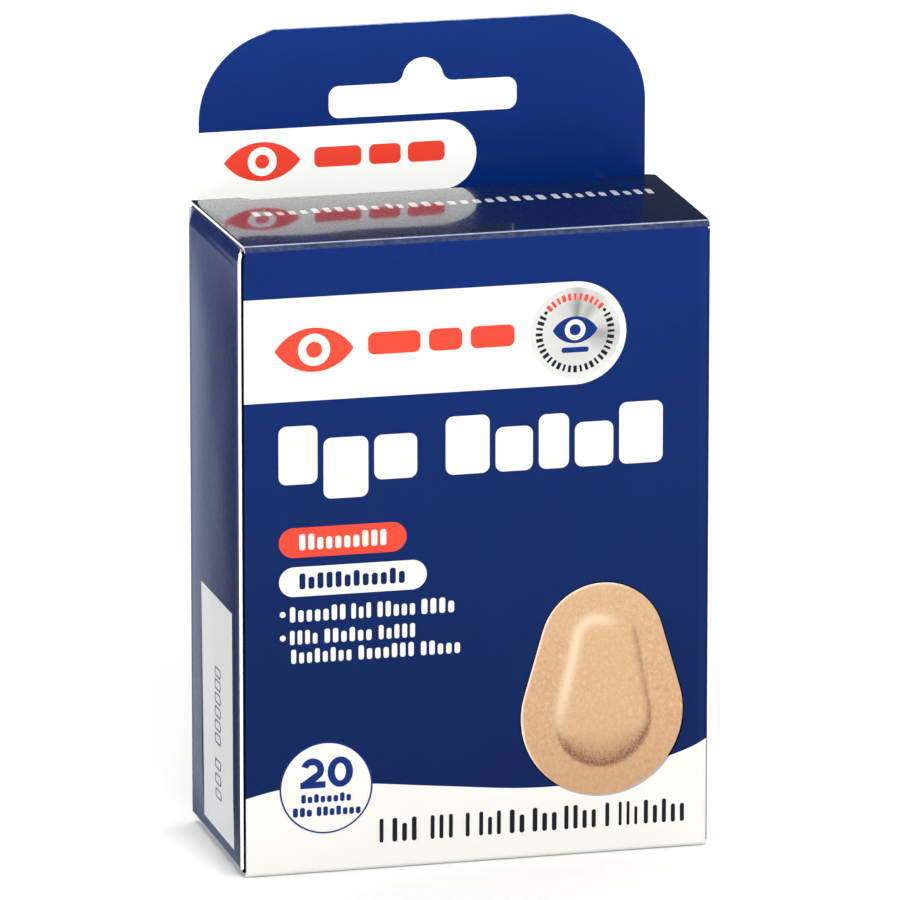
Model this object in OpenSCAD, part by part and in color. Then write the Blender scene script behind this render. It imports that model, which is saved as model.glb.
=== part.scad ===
// Carton of individually wrapped adhesive eye patches.
// A folded and glued paperboard carton with a two-ply hang tab, a slit-lock
// tuck lid at the top and a glued closure at the bottom, holding a stack of
// flat peel pouches. Each pouch is a clear film and a paper sheet sealed round
// one egg-shaped patch: backing, adhesive, pad, pad facing and two liners.
// Frame: origin at the middle of the carton's foot, +Z up, front faces -Y.

/* [Carton] */
// Outside width of the carton, side to side
box_w = 79.4; // [79:0.1:84]
// Outside depth of the carton, front to back
box_d = 36; // [36:0.5:40]
// Outside height of the carton's body, without the hang tab
box_h = 106.3; // [105:0.1:112]
// Thickness of the paperboard
board = 0.5; // [0.4:0.05:0.5]
// Outer radius of the folded upright corners
fold_r = 0.9; // [0.8:0.1:1.2]
// Length of the glue flap behind the left side panel
glue_len = 12.6; // [9:0.1:14]

/* [Hang tab] */
// Height of the hang tab above the carton's body
tab_h = 27.9; // [26:0.1:34]
// How far the tab stands in from each side of the carton
tab_inset = 1.7; // [1.2:0.1:3]
// Radius of the tab's upper corners
tab_r = 15; // [10:0.5:18]
// Width of the hang slot
slot_w = 32; // [30:0.5:34]
// Height of the hang slot's straight part
slot_h = 5.4; // [5:0.1:6]
// Height of the slot with its middle hump
hump_h = 9.5; // [9:0.1:10]
// Height of the slot's lower edge above the carton's body
slot_up = 12.4; // [11:0.1:14]
// How far the folded-over ply reaches down inside the carton
ply_down = 12; // [8:1:20]

/* [Closures] */
// Length of the tuck flap below the lid
tuck_len = 9.5; // [8:0.5:9.5]
// Distance from the lid's rear crease to the hang tab
tuck_gap = 2.1; // [2.1:0.1:2.4]
// Length of each slit at the ends of the rear crease
slit_len = 9.2; // [7:0.1:12]
// Length of each top dust flap
dust_len = 21; // [16:1:24]
// Slope of the top dust flap's edge next to the lid hinge
dust_slope = 0.62; // [0.6:0.02:0.7]
// Length of each bottom dust flap
foot_dust_len = 24; // [16:1:30]
// Length of the bottom's inner flap
foot_inner_len = 24; // [18:1:30]

/* [Pouches] */
// Number of wrapped patches in the carton
pouch_n = 20; // [4:1:20]
// Distance from one pouch to the next in the stack
pouch_pitch = 1.5; // [1.47:0.01:1.5]
// Width of a pouch
pouch_w = 74; // [70:1:74]
// Height of a pouch
pouch_h = 98; // [94:1:98]
// Width of the heat seal round the pouch
seal = 5; // [4:0.5:6]
// Thickness of the clear film
film_t = 0.08; // [0.06:0.01:0.08]
// Thickness of the paper sheet
paper_t = 0.1; // [0.08:0.01:0.1]

/* [Patch] */
// Width of the patch across its broad lower end
patch_w = 57; // [50:0.5:58]
// Height of the patch
patch_h = 80; // [74:0.5:81]
// Radius of the patch's narrow upper end
patch_top_r = 20.2; // [18:0.2:24]
// Thickness of the non-woven backing
backing_t = 0.25; // [0.2:0.01:0.25]
// Thickness of the pad
pad_t = 0.62; // [0.5:0.02:0.62]
// Width of the pad across its lower end
pad_w = 34; // [30:0.5:36]
// Height of the pad
pad_h = 57; // [50:0.5:58]
// Radius of the pad's narrow upper end
pad_top_r = 10.3; // [9:0.1:13]
// Thickness of a release liner
liner_t = 0.1; // [0.08:0.01:0.1]

/* [Hidden] */
navy = [0.07, 0.17, 0.46];
white = [0.95, 0.95, 0.93];
tan = [0.87, 0.70, 0.50];
xo = box_w / 2;              // outer side faces
yo = box_d / 2;              // outer front and back faces
top = box_h + tab_h;         // top of the hang tab
g = 0.05;                    // gap left at a crease between two boards
lid_under = box_h - board;   // underside of the lid
dust_top = lid_under - 0.1;  // upper face of a top dust flap
wall_top = dust_top - board - g;  // top edge of the side panels
ply_y = yo - 2 * board;      // front face of the folded-over ply
crease_y = ply_y - tuck_gap - board;  // front face of the tuck flap
foot_2 = board + 0.02;       // bottom: under the inner flap
foot_3 = foot_2 + board + 0.02;   // bottom: under the dust flaps
foot = foot_3 + board;       // bottom: the floor the pouches stand on
wall_foot = foot + g;        // lower edge of the side panels
bead_n = 6;
// pouch layers are counted from the film, at the front, to the paper
pouch_t = film_t + backing_t + pad_t + 0.06 + 2 * liner_t + paper_t + 0.14;
pouch_x = 0.25;
pouch_z = foot + 0.15;
stack_y = -yo + board + 0.2;
last_y = stack_y + (pouch_n - 1) * pouch_pitch;
patch_z = pouch_z + (pouch_h - patch_h) / 2;
pad_z = patch_z + 10.5;

function arc(c, r, a, b, n) = [for (i = [0:n]) c + r * [cos(a + (b - a) * i / n), sin(a + (b - a) * i / n)]];
// egg outline standing on the origin: a wide lower circle, a narrow upper one and their tangents
function egg(w, h, r2, n) =
  let (r1 = w / 2, d = h - r1 - r2, t = asin((r1 - r2) / d))
  concat(arc([0, r1], r1, 180 - t, 360 + t, 2 * n), arc([0, h - r2], r2, t, 180 - t, n));

module upright(y0, y1) { // extrudes a front-view outline from y0 back to y1
  translate([0, y1, 0]) rotate([90, 0, 0]) linear_extrude(y1 - y0) children();
}
module across(x0, x1) { // extrudes a side-view outline (y, z) from x0 to x1
  translate([x0, 0, 0]) rotate([90, 0, 90]) linear_extrude(x1 - x0) children();
}

// ---- walls

// wall with rounded upright corners, seen from above
module wall_2d(x0, x1) {
  polygon(concat(
    arc([x0 + fold_r, -yo + fold_r], fold_r, 180, 270, bead_n),
    arc([x1 - fold_r, -yo + fold_r], fold_r, 270, 360, bead_n),
    arc([x1 - fold_r, -yo + fold_r], fold_r - board, 360, 270, bead_n),
    arc([x0 + fold_r, -yo + fold_r], fold_r - board, 270, 180, bead_n)));
}

module slot_2d() {
  r = 1.7;
  z0 = box_h + slot_up;
  c = [0, z0 + hump_h - 3.5];
  polygon(concat(
    arc([-slot_w / 2 + r, z0 + r], r, 180, 270, 6),
    arc([slot_w / 2 - r, z0 + r], r, 270, 360, 6),
    arc([slot_w / 2 - r, z0 + slot_h - r], r, 0, 90, 6),
    arc([5.3, z0 + slot_h + 1], 1, 270, 215, 4),
    arc(c, 3.5, 25, 155, 12),
    arc([-5.3, z0 + slot_h + 1], 1, 325, 270, 4),
    arc([-slot_w / 2 + r, z0 + slot_h - r], r, 90, 180, 6)));
}

// outline of the hang tab with its slot, seen from the front, from height z0 up
module tab_2d(z0) {
  x1 = xo - tab_inset;
  zt = top - board;
  zc = zt - tab_r + 0.45;
  a = asin((zt - zc) / tab_r);
  difference() {
    polygon(concat([[-x1, z0], [x1, z0]],
      arc([x1 - tab_r, zc], tab_r, 0, a, 16),
      arc([-x1 + tab_r, zc], tab_r, 180 - a, 180, 16)));
    slot_2d();
  }
}

module front_panel() {
  color(navy) translate([0, 0, board + g]) linear_extrude(lid_under - board - 2 * g) wall_2d(-xo + board, xo);
}

module back_panel() {
  color(navy) union() {
    translate([0, 0, wall_foot]) linear_extrude(wall_top - wall_foot) rotate(180) wall_2d(-xo, xo);
    upright(yo - board, yo) polygon([
      [-xo + fold_r + 0.3, foot_2 + board + g], [xo - fold_r - 0.3, foot_2 + board + g],
      [xo - fold_r - 0.3, wall_top], [-xo + fold_r + 0.3, wall_top]]);
    upright(yo - board, yo) tab_2d(wall_top - 1);
  }
}

module left_side_panel() {
  color(navy) translate([-xo, -yo + 0.1, wall_foot]) cube([board, box_d - fold_r - 0.1, wall_top - wall_foot]);
}
module right_side_panel() {
  color(navy) translate([xo - board, -yo + fold_r, wall_foot]) cube([board, box_d - 2 * fold_r, wall_top - wall_foot]);
}
module glue_flap() {
  y0 = -yo + fold_r;
  color(white) across(-xo + board, -xo + 2 * board)
    polygon([[y0, 2.5], [y0 + glue_len, 6], [y0 + glue_len, box_h - 6], [y0, box_h - 2.5]]);
}

module hang_tab_front_ply() {
  x1 = xo - tab_inset;
  zt = top - board;
  half = x1 - tab_r + tab_r * cos(asin(1 - 0.45 / tab_r));
  color(navy) union() {
    upright(ply_y, yo - board) tab_2d(box_h - ply_down);
    // the fold that joins the two plies along the top
    across(-half, half) polygon(arc([yo - board, zt], board, 0, 180, 10));
  }
}

// ---- top closure

// lid: rounded front crease, and a shoulder beyond the slit at each end of its rear crease
module top_lid() {
  x0 = -xo + board; x1 = xo - 0.4; ys = ply_y - 0.1;
  color(navy) intersection() {
    across(x0, x1) polygon(concat([[ys, lid_under], [ys, box_h]],
      arc([-yo + board + 0.02, lid_under], board, 90, 180, bead_n)));
    translate([0, 0, lid_under - 1]) linear_extrude(board + 2) polygon([
      [x0, -yo - 1], [x1, -yo - 1], [x1, ys - 1.5], [x1 - 1.4, ys + 0.01], [x1 - slit_len + 1.2, ys + 0.01],
      [x1 - slit_len, crease_y], [x0 + slit_len, crease_y],
      [x0 + slit_len - 1.2, ys + 0.01], [x0 + 0.4, ys + 0.01], [x0, ys - 0.4]]);
  }
}

// tuck flap: hangs from the rear crease, with a rounded bead over the crease itself
module top_tuck_flap() {
  x0 = -xo + 2 * board + 0.6; x1 = xo - board - 0.6;
  b0 = -xo + board + slit_len + 0.1; b1 = xo - 0.4 - slit_len - 0.1;
  r = 6; zb = lid_under - tuck_len;
  color(navy) union() {
    upright(crease_y, crease_y + board) polygon(concat(
      [[x1, lid_under - 2], [x1 - 1, lid_under - 0.1], [b1, lid_under - 0.1], [b1, lid_under],
       [b0, lid_under], [b0, lid_under - 0.1], [x0 + 1, lid_under - 0.1], [x0, lid_under - 2]],
      arc([x0 + r, zb + r], r, 180, 270, 8),
      arc([x1 - r, zb + r], r, 270, 360, 8)));
    across(b0, b1) polygon(concat([[crease_y, lid_under - 0.01]], arc([crease_y, lid_under], board, 0, 90, bead_n)));
  }
}

// left dust flap: s runs inwards from the side panel's outer face
module dust_flap() {
  y1 = crease_y - 0.9;             // behind the shoulder
  y2 = last_y - 0.3;               // in front of the rearmost pouch
  intersection() {
    translate([-xo, 0, dust_top - 2]) linear_extrude(3) polygon([
      [-0.1, -yo + 1.6], [1, -yo + 1.7], [dust_len - 1.5, -yo + 1.1 + dust_slope * (dust_len - 1.5)],
      [dust_len, -yo + 2.2 + dust_slope * dust_len], [dust_len, y2 - 4.5], [dust_len - 2, y2 - 2.6],
      [3.2, y2], [2.1, y2 + 0.5], [1.9, y1], [-0.1, y1]]);
    upright(-yo, yo) polygon(concat([[-xo + dust_len, dust_top - board], [-xo + dust_len, dust_top]],
      arc([-xo + board + 0.02, dust_top - board], board, 90, 180, bead_n)));
  }
}
module top_dust_flap_left() { color(white) dust_flap(); }
module top_dust_flap_right() { color(white) mirror([1, 0, 0]) dust_flap(); }

// ---- bottom closure: dust flaps inside, then the flap of the back panel, then the glued outer flap

module bottom_outer_flap() {
  x1 = xo - 0.4; ye = yo - board - 0.1;
  color(navy) intersection() {
    across(-xo + board, x1) polygon(concat([[ye, board], [ye, 0]],
      arc([-yo + board + 0.02, board], board, 270, 180, bead_n)));
    translate([0, 0, -1]) linear_extrude(board + 2) polygon([
      [-xo, -yo - 1], [xo, -yo - 1], [xo, ye - 3], [x1 - 2, ye + 0.01], [-xo + board + 2, ye + 0.01], [-xo, ye - 3]]);
  }
}
module bottom_inner_flap() {
  x1 = xo - 0.8; ye = yo - 0.02 - foot_inner_len;
  color(white) intersection() {
    across(-x1, x1) polygon(concat([[ye, foot_2 + board], [ye, foot_2]],
      arc([yo - board - 0.02, foot_2 + board], board, 270, 360, bead_n)));
    linear_extrude(foot_3) polygon([[-x1, yo + 1], [x1, yo + 1], [x1, ye + 6], [x1 - 3, ye - 0.01], [-x1 + 3, ye - 0.01], [-x1, ye + 6]]);
  }
}
module foot_dust() {
  intersection() {
    translate([-xo, 0, foot_3 - 1]) linear_extrude(board + 2) polygon([
      [-0.1, -yo + 1], [1, -yo + 1.1], [foot_dust_len - 4, -yo + 4], [foot_dust_len, -yo + 9],
      [foot_dust_len, yo - 9], [foot_dust_len - 4, yo - 4], [1, yo - 1.1], [-0.1, yo - 1]]);
    upright(-yo, yo) polygon(concat([[-xo + foot_dust_len, foot], [-xo + foot_dust_len, foot_3]],
      arc([-xo + board + 0.02, foot], board, 270, 180, bead_n)));
  }
}
module bottom_dust_flap_left() { color(white) foot_dust(); }
module bottom_dust_flap_right() { color(white) mirror([1, 0, 0]) foot_dust(); }

// ---- one wrapped patch; y is counted from the front of its film
y_back = film_t + 0.02;                      // front of the raised middle
y_pad = y_back + backing_t + 0.01;
y_border = y_back + pad_t + 0.06;            // front of the flat border
y_adh = y_border + backing_t;
y_face = y_pad + pad_t + 0.01;
y_lin = y_adh + 0.05;
y_lin2 = y_lin + liner_t + 0.02;
y_paper = pouch_t - paper_t;
lin_w = patch_w + 4;
lin_h = patch_h + 4;

module at_pouch(i) { translate([pouch_x, stack_y + i * pouch_pitch, 0]) children(); }

module film() { // a flat seal round a shallow pocket
  d = y_paper - 0.02;
  color([0.85, 0.9, 0.95, 0.4]) difference() {
    union() {
      translate([-pouch_w / 2, d - film_t, pouch_z]) cube([pouch_w, film_t, pouch_h]);
      translate([-pouch_w / 2 + seal, 0, pouch_z + seal]) cube([pouch_w - 2 * seal, d - 0.01, pouch_h - 2 * seal]);
    }
    translate([-pouch_w / 2 + seal + film_t, film_t, pouch_z + seal + film_t])
      cube([pouch_w - 2 * seal - 2 * film_t, d + 1, pouch_h - 2 * seal - 2 * film_t]);
  }
}
module paper() {
  color(white) translate([-pouch_w / 2, y_paper, pouch_z]) cube([pouch_w, paper_t, pouch_h]);
}
module backing(n) { // flat border and a raised middle over the pad
  color(tan) difference() {
    union() {
      upright(y_border, y_adh) translate([0, patch_z]) polygon(egg(patch_w, patch_h, patch_top_r, n));
      upright(y_back, y_border + 0.01) translate([0, pad_z - 1]) polygon(egg(pad_w + 2, pad_h + 2, pad_top_r + 1, n));
    }
    upright(y_back + backing_t, y_adh + 1) translate([0, pad_z - 0.1]) polygon(egg(pad_w + 0.2, pad_h + 0.2, pad_top_r + 0.1, n));
  }
}
module pad(n, t) {
  color(white) upright(y_pad, y_pad + t) translate([0, pad_z]) polygon(egg(pad_w, pad_h, pad_top_r, n));
}
module adhesive(n) {
  color([0.9, 0.85, 0.7, 0.6]) difference() {
    upright(y_adh, y_adh + 0.04) translate([0, patch_z + 0.2]) polygon(egg(patch_w - 0.4, patch_h - 0.4, patch_top_r - 0.2, n));
    upright(y_adh - 1, y_adh + 1) translate([0, pad_z - 0.1]) polygon(egg(pad_w + 0.2, pad_h + 0.2, pad_top_r + 0.1, n));
  }
}
module facing(n) {
  color(white) upright(y_face, y_face + 0.08) translate([0, pad_z + 0.3]) polygon(egg(pad_w - 0.6, pad_h - 0.6, pad_top_r - 0.3, n));
}
module liner_low() {
  color(white) translate([-lin_w / 2, y_lin, patch_z - 2]) cube([lin_w, liner_t, lin_h / 2 + 4]);
}
module liner_up() { // overlaps the lower liner, so that it can be gripped
  color(white) translate([-lin_w / 2, y_lin2, patch_z - 2 + lin_h / 2 - 4]) cube([lin_w, liner_t, lin_h / 2 + 4]);
}

module pouch_film() { at_pouch(pouch_n - 1) film(); }
module pouch_paper() { at_pouch(pouch_n - 1) paper(); }
module patch_backing() { at_pouch(pouch_n - 1) backing(16); }
module patch_adhesive() { at_pouch(pouch_n - 1) adhesive(16); }
module patch_pad() { at_pouch(pouch_n - 1) pad(16, pad_t); }
module patch_pad_facing() { at_pouch(pouch_n - 1) facing(16); }
module liner_upper() { at_pouch(pouch_n - 1) liner_up(); }
module liner_lower() { at_pouch(pouch_n - 1) liner_low(); }
module stack() { for (i = [0:pouch_n - 2]) at_pouch(i) children(); }
module stacked_films() { stack() film(); }
module stacked_papers() { stack() paper(); }
module stacked_backings() { stack() backing(5); }
module stacked_pads() { stack() pad(5, pad_t + 0.09); }
module stacked_liners_upper() { stack() liner_up(); }
module stacked_liners_lower() { stack() liner_low(); }

front_panel();
back_panel();
left_side_panel();
right_side_panel();
glue_flap();
hang_tab_front_ply();
top_lid();
top_tuck_flap();
top_dust_flap_left();
top_dust_flap_right();
bottom_outer_flap();
bottom_inner_flap();
bottom_dust_flap_left();
bottom_dust_flap_right();
pouch_film();
pouch_paper();
patch_backing();
patch_adhesive();
patch_pad();
patch_pad_facing();
liner_upper();
liner_lower();
stacked_films();
stacked_papers();
stacked_backings();
stacked_pads();
stacked_liners_upper();
stacked_liners_lower();
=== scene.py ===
import math

import bpy
import numpy as np
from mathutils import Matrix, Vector
from mathutils.geometry import delaunay_2d_cdt


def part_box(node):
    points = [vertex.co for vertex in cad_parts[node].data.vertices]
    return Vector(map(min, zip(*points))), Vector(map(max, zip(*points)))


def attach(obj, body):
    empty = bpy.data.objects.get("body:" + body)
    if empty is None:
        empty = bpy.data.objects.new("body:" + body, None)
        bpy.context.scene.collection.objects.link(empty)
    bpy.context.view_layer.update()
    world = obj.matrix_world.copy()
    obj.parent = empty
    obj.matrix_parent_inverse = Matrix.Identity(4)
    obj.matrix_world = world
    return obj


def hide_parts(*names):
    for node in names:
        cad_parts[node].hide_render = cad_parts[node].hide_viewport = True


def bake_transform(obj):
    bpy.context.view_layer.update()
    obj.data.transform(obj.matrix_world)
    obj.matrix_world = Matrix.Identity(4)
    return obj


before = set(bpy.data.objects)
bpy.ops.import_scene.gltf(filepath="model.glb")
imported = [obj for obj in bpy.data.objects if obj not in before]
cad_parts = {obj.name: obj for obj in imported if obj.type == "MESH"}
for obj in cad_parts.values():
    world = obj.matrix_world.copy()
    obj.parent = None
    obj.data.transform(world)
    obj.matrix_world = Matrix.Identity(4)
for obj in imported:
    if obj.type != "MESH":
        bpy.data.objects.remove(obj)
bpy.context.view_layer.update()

# ------------------------------------------------------------------ sizes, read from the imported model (millimetres)
def box(node):
    lo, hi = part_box(node)
    return [v * 1000 for v in lo], [v * 1000 for v in hi]


(front_lo, front_hi), (back_lo, back_hi) = box("front_panel"), box("back_panel")
(left_lo, left_hi), (lid_lo, lid_hi) = box("left_side_panel"), box("top_lid")
(tuck_lo, tuck_hi), (ply_lo, ply_hi) = box("top_tuck_flap"), box("hang_tab_front_ply")
(dust_lo, dust_hi), (film_lo, film_hi) = box("top_dust_flap_left"), box("pouch_film")
XO, YO = -left_lo[0], -front_lo[1]           # outer side and front faces: 39.7, 18
BOARD = left_hi[0] - left_lo[0]              # 0.5
H = lid_hi[2]                                # top of the closed lid: 106.3
FOLD = 0.9                                   # outer radius of the upright folds
XF0 = front_lo[0]                            # left end of the front panel: -39.2
WALL_TOP, WALL_FOOT = left_hi[2], left_lo[2]
PLY_Y = ply_lo[1]                            # front face of the hang tab: 17
TAB_TOP = ply_hi[2] - BOARD                  # where the tab's two plies fold: 133.7
TAB_X = ply_hi[0]                            # half width of the tab: 38
LIDX0, LIDX1, LIDY = lid_lo[0], lid_hi[0], lid_hi[1]
LIDU = lid_lo[2]                             # underside of the lid: 105.8
TUCK_Y = tuck_lo[1]                          # 14.4
DUST_TOP = dust_hi[2]                        # 105.7


def lin(c):
    """sRGB 0..255 to linear, with alpha."""
    out = []
    for v in c[:3]:
        v = v / 255
        out.append(v / 12.92 if v <= 0.04045 else ((v + 0.055) / 1.055) ** 2.4)
    return (*out, 1.0)


# ------------------------------------------------------------------ camera, first
cam_data = bpy.data.cameras.new("photo_camera")
cam = bpy.data.objects.new("photo_camera", cam_data)
bpy.context.scene.collection.objects.link(cam)
cam.location = (-0.433985, -1.703845, 0.517040)
cam.rotation_mode = "QUATERNION"
cam.rotation_quaternion = Vector((0.239207, 0.938580, -0.248690)).to_track_quat("-Z", "Y")
cam_data.sensor_width = 36
cam_data.lens = 440.6
cam_data.clip_start, cam_data.clip_end = 0.05, 20
bpy.context.scene.camera = cam


# ------------------------------------------------------------------ materials
class Mat:
    """A material's nodes, with short ways to add the ones used here."""

    def __init__(self, name):
        self.mat = bpy.data.materials.new(name)
        self.mat.use_nodes = True
        self.t = self.mat.node_tree
        self.n = self.t.nodes
        self.n.clear()
        self.out = self.n.new("ShaderNodeOutputMaterial")
        self.b = self.n.new("ShaderNodeBsdfPrincipled")
        self.t.links.new(self.b.outputs[0], self.out.inputs[0])
        self.coord = self.n.new("ShaderNodeTexCoord").outputs["Object"]

    def link(self, a, b):
        self.t.links.new(a, b)

    def put(self, name, value):
        self.b.inputs[name].default_value = value

    def noise(self, scale, detail=2.0, rough=0.5, stretch=None, distort=0.0):
        n = self.n.new("ShaderNodeTexNoise")
        n.inputs["Scale"].default_value = scale
        n.inputs["Detail"].default_value = detail
        n.inputs["Roughness"].default_value = rough
        n.inputs["Distortion"].default_value = distort
        self.link(self.mapped(stretch), n.inputs["Vector"])
        return n.outputs["Fac"]

    def mapped(self, stretch=None):
        if stretch is None:
            return self.coord
        m = self.n.new("ShaderNodeMapping")
        m.inputs["Scale"].default_value = stretch
        self.link(self.coord, m.inputs["Vector"])
        return m.outputs[0]

    def voronoi(self, scale, feature="F1", stretch=None):
        n = self.n.new("ShaderNodeTexVoronoi")
        n.feature = feature
        n.inputs["Scale"].default_value = scale
        self.link(self.mapped(stretch), n.inputs["Vector"])
        return n.outputs["Distance"]

    def rng(self, x, a, b, c, d):
        n = self.n.new("ShaderNodeMapRange")
        self.link(x, n.inputs[0])
        for i, v in enumerate((a, b, c, d)):
            n.inputs[i + 1].default_value = v
        return n.outputs[0]

    def math(self, op, a, b=None):
        n = self.n.new("ShaderNodeMath")
        n.operation = op
        for i, v in enumerate((a, b)):
            if v is None:
                continue
            if hasattr(v, "is_linked"):
                self.link(v, n.inputs[i])
            else:
                n.inputs[i].default_value = v
        return n.outputs[0]

    def mix(self, fac, a, b, blend="MIX"):
        n = self.n.new("ShaderNodeMix")
        n.data_type = "RGBA"
        n.blend_type = blend
        if hasattr(fac, "is_linked"):
            self.link(fac, n.inputs[0])
        else:
            n.inputs[0].default_value = fac
        for i, v in ((6, a), (7, b)):
            if hasattr(v, "is_linked"):
                self.link(v, n.inputs[i])
            else:
                n.inputs[i].default_value = v
        return n.outputs[2]

    def ramp(self, x, stops):
        n = self.n.new("ShaderNodeValToRGB")
        e = n.color_ramp.elements
        while len(e) < len(stops):
            e.new(0.5)
        for k, (p, c) in zip(e, stops):
            k.position = p
            k.color = c
        self.link(x, n.inputs[0])
        return n.outputs[0]

    def attribute(self, name):
        n = self.n.new("ShaderNodeAttribute")
        n.attribute_name = name
        return n.outputs["Fac"]

    def z(self):
        n = self.n.new("ShaderNodeSeparateXYZ")
        self.link(self.coord, n.inputs[0])
        return n.outputs

    def bump(self, height, strength, distance, socket="Normal"):
        n = self.n.new("ShaderNodeBump")
        n.inputs["Strength"].default_value = strength
        n.inputs["Distance"].default_value = distance
        self.link(height, n.inputs["Height"])
        self.link(n.outputs[0], self.b.inputs[socket])
        return n.outputs[0]


def coated(name, colour, mottle=0.06, speck=0.10, rough=0.42, edge=None, ior=1.38, coat_ior=1.38, coat_rough=0.035, peel_bump=0.05, coat=1.0):
    """Print under a gloss coat on clay-coated board: colour is one sRGB colour or stops of (height in mm, colour)."""
    m = Mat(name)
    if isinstance(colour[0], (tuple, list)):
        z0, z1 = colour[0][0] / 1000, colour[-1][0] / 1000
        base = m.ramp(m.rng(m.z()[2], z0, z1, 0, 1), [((h / 1000 - z0) / (z1 - z0), lin(c)) for h, c in colour])
    else:
        base = lin(colour)
    # uneven ink lay-down over centimetres, the fine grain of the screen, and stray lighter flecks
    cloud = m.rng(m.noise(55, 3, 0.6), 0.3, 0.7, 0, 1)
    base = m.mix(cloud, m.mix(mottle, base, (1, 1, 1, 1), "SOFT_LIGHT"), m.mix(mottle, base, (0.05, 0.05, 0.08, 1), "SOFT_LIGHT"))
    grain = m.rng(m.noise(2300, 2, 0.6), 0.32, 0.68, 0, 1)
    base = m.mix(grain, base, m.mix(speck * 0.5, base, (0.68, 0.78, 0.92, 1), "SOFT_LIGHT"))
    if edge:
        base = edge(m, base)
    m.link(base, m.b.inputs["Base Color"])
    m.link(m.rng(m.noise(900, 2, 0.6), 0.2, 0.8, rough - 0.08, rough + 0.08), m.b.inputs["Roughness"])
    m.put("IOR", ior)
    m.put("Specular IOR Level", 0.25 * coat)
    m.put("Coat Weight", coat)
    m.put("Coat IOR", coat_ior)
    m.put("Coat Roughness", coat_rough)
    fibre = m.noise(2600, 3, 0.6)
    peel = m.noise(420, 2, 0.5)
    m.bump(m.math("ADD", m.math("MULTIPLY", fibre, 0.35), peel), min(0.10, peel_bump * 3), 0.00006)
    m.bump(peel, peel_bump, 0.00006, "Coat Normal")
    return m.mat


NAVY_STOPS = [(0, (3, 27, 76)), (18, (3, 28, 78)), (55, (3, 32, 86)), (80, (2, 34, 94)), (106, (1, 35, 101)), (134.5, (1, 41, 113))]
navy = coated("print_navy", NAVY_STOPS, speck=0.5)
navy_tab = coated("print_navy_tab", NAVY_STOPS, speck=0.5, coat_rough=0.16)
white = coated("print_white", (218, 217, 212), mottle=0.02, speck=0.02)
# the hang tab's white is a lighter copy of the white print: painted light making up for the shade the lid casts on the
# tab from below
white_tab = coated("print_white_tab_painted_light", (252, 252, 247), mottle=0.02, speck=0.02)
red = coated("print_red", (236, 66, 46), speck=0.05)
ink = coated("print_ink", (26, 28, 36), speck=0.06)
blue_ink = coated("print_blue_numeral", (12, 42, 112))
# near-black navy: the printed drop shadow round the patch picture, and painted shade in the grooves at the front's side
# folds
navy_dark = coated("print_navy_shadow", (3, 6, 20), coat=0.2)
navy_edge = coated("print_navy_rubbed", [(z, tuple(min(255, c + 4) for c in col)) for z, col in NAVY_STOPS], speck=0.3)
# the lid's navy is a darker copy of the navy print: painted shade standing in for the weaker light on the lid's top
navy_lid = coated("print_navy_lid", (5, 19, 52), coat_ior=1.47, coat_rough=0.075, rough=0.3, peel_bump=0.008)
# near-black strip on the lid's left edge: painted shade where the pressed edge turns away, with almost no coat
lid_rim = coated("lid_rim_painted_shade", (3, 6, 16), coat=0.05)
grey_shadow = coated("print_grey_shadow", (158, 157, 160), mottle=0.02)
label_grey = coated("print_label", (240, 240, 236), mottle=0.05, speck=0.04, rough=0.55)
code_grey = coated("print_code", (92, 94, 100), speck=0.2)


def crease_wear_and_highlight(at, wide, band, line=(176, 182, 202), strength=0.85):
    """Print cracked along a crease, with a painted highlight: a dull crazed band, and a pale line that is partly rubbed
    print and partly painted highlight along the fold; fold_s runs 0..1 across the fold.
    """
    def add(m, base):
        s = m.attribute("fold_s")
        craze = m.noise(1500, 4, 0.75, stretch=(0.6, 1, 1))
        dull = m.mix(m.rng(craze, 0.38, 0.66, 0.25, 1), lin((20, 30, 58)), lin((74, 82, 108)))
        if band:
            base = m.mix(m.math("MULTIPLY", m.rng(s, band[0], band[1], 0, 1), 0.85), base, dull)
        off = m.math("ADD", m.math("ABSOLUTE", m.math("SUBTRACT", s, at)), m.math("MULTIPLY", m.math("SUBTRACT", m.noise(420, 3, 0.7), 0.5), wide * 1.1))
        return m.mix(m.rng(off, wide * 0.35, wide, strength, 0), base, lin(line))
    return add


# the lid crease's and the tab fold's pale lines are partly rubbed print and partly painted highlight; the side folds'
# line is faint
navy_crease = coated("print_navy_lid_crease", NAVY_STOPS, edge=crease_wear_and_highlight(0.74, 0.13, (0.0, 0.16)), coat_ior=1.3, coat_rough=0.15)
navy_fold = coated("print_navy_fold", NAVY_STOPS, edge=crease_wear_and_highlight(0.55, 0.03, None, (120, 132, 170), 0.10), coat_rough=0.24)
navy_top = coated("print_navy_tab_fold", NAVY_STOPS, edge=crease_wear_and_highlight(0.42, 0.16, None, (206, 212, 226), 0.8))


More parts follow.
